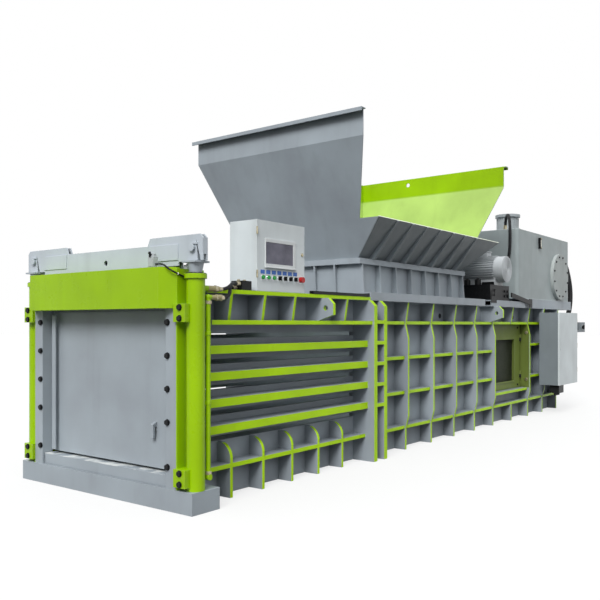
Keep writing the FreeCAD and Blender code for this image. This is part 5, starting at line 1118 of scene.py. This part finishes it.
# A tie of natural nylon, milky white, holds the switch's cable to the post.
tie = bmesh.new()
rod(tie, (-0.105, -0.7195, 1.3700), (1, 0, -0.32), 0.0075, 0.005, 0.001, 16)
nylon = plain_finish("nylon_tie", "#dcdcd6", "#e8e8e2", 40, 0.45)
piece("cable_tie", tie, nylon, "frame")

# ---- Gate hoses' manifolds: two black steel blocks on the chamber's roof, each held down by
# two zinc-plated bolts.
dress(black_oxide, "hose_manifolds")
manifold_bolts = bmesh.new()
for sign in (1, -1):
    for x in (0.436, 0.491):
        hex_head(manifold_bolts, (x, sign * 0.696, 1.354), (0, 0, 1), 0.017, 0.010)
piece("manifold_bolts", manifold_bolts, zinc, "frame")

# ---- Floor and light: a pale studio floor, a soft dome that is brighter above than below,
# and a broad lamp from above the gate end, so that the gate is the brightest side.
floor_mesh = bmesh.new()
bmesh.ops.create_grid(floor_mesh, x_segments=1, y_segments=1, size=60)
floor_data = bpy.data.meshes.new("floor")
floor_mesh.to_mesh(floor_data)
floor_mesh.free()
floor = bpy.data.objects.new("floor", floor_data)
scene.collection.objects.link(floor)
floor_finish, tree, shader, _ = bare_material("pale_studio_floor", 0.9)
rays = add(tree, "ShaderNodeLightPath")
# Seen by the camera the floor is pale; to light that bounces off it, it is darker.
tone = add(
    tree,
    "ShaderNodeMix",
    {"data_type": "RGBA", 6: colour("#e6e6e4"), 7: colour("#4e4e4c")},
    {"Factor": rays.outputs["Is Diffuse Ray"]},
)
tree.links.new(tone.outputs[2], shader.inputs["Base Color"])
white = add(tree, "ShaderNodeEmission", {"Color": colour("#ffffff"), "Strength": 1.0})
seen = add(
    tree, "ShaderNodeMath", {"operation": "MULTIPLY", 1: 0.72},
    {0: rays.outputs["Is Camera Ray"]},
)
blend = add(
    tree,
    "ShaderNodeMixShader",
    {},
    {0: seen.outputs[0], 1: shader.outputs["BSDF"], 2: white.outputs["Emission"]},
)
tree.links.new(blend.outputs[0], tree.nodes["Material Output"].inputs["Surface"])
floor_data.materials.append(floor_finish)

world = bpy.data.worlds.new("studio")
scene.world = world
world.use_nodes = True
tree = world.node_tree
tree.nodes.clear()
rays = add(tree, "ShaderNodeLightPath")
direct = rays.outputs["Is Camera Ray"]
for kind in ("Is Glossy Ray", "Is Transmission Ray"):
    direct = add(
        tree, "ShaderNodeMath", {"operation": "MAXIMUM"}, {0: direct, 1: rays.outputs[kind]}
    ).outputs[0]
heading = add(tree, "ShaderNodeTexCoord").outputs["Generated"]
split = add(tree, "ShaderNodeSeparateXYZ", {}, {"Vector": heading})
dome = add(
    tree,
    "ShaderNodeMapRange",
    {"From Min": 0.0, "From Max": 0.95, "To Min": 0.02, "To Max": 1.25},
    {"Value": split.outputs["Z"]},
)
surround = add(
    tree, "ShaderNodeBackground", {"Color": colour("#f7faff")},
    {"Strength": dome.outputs["Result"]},
)
backdrop = add(tree, "ShaderNodeBackground", {"Color": colour("#ffffff"), "Strength": 1.0})
mix = add(
    tree,
    "ShaderNodeMixShader",
    {},
    {0: direct, 1: surround.outputs[0], 2: backdrop.outputs[0]},
)
add(tree, "ShaderNodeOutputWorld", {}, {"Surface": mix.outputs[0]})

key = bpy.data.objects.new("key_lamp", bpy.data.lights.new("key_lamp", "SUN"))
key.data.energy = 2.7
key.data.angle = math.radians(28)
key.rotation_euler = Vector((-0.85, -0.30, 0.75)).to_track_quat("Z", "Y").to_euler()
scene.collection.objects.link(key)

# A weak lamp from the operator's side lifts the edges that face it.
fill = bpy.data.objects.new("fill_lamp", bpy.data.lights.new("fill_lamp", "SUN"))
fill.data.energy = 0.38
fill.data.angle = math.radians(50)
fill.rotation_euler = Vector((-0.25, -0.95, 0.35)).to_track_quat("Z", "Y").to_euler()
scene.collection.objects.link(fill)

scene.view_settings.view_transform = "Standard"
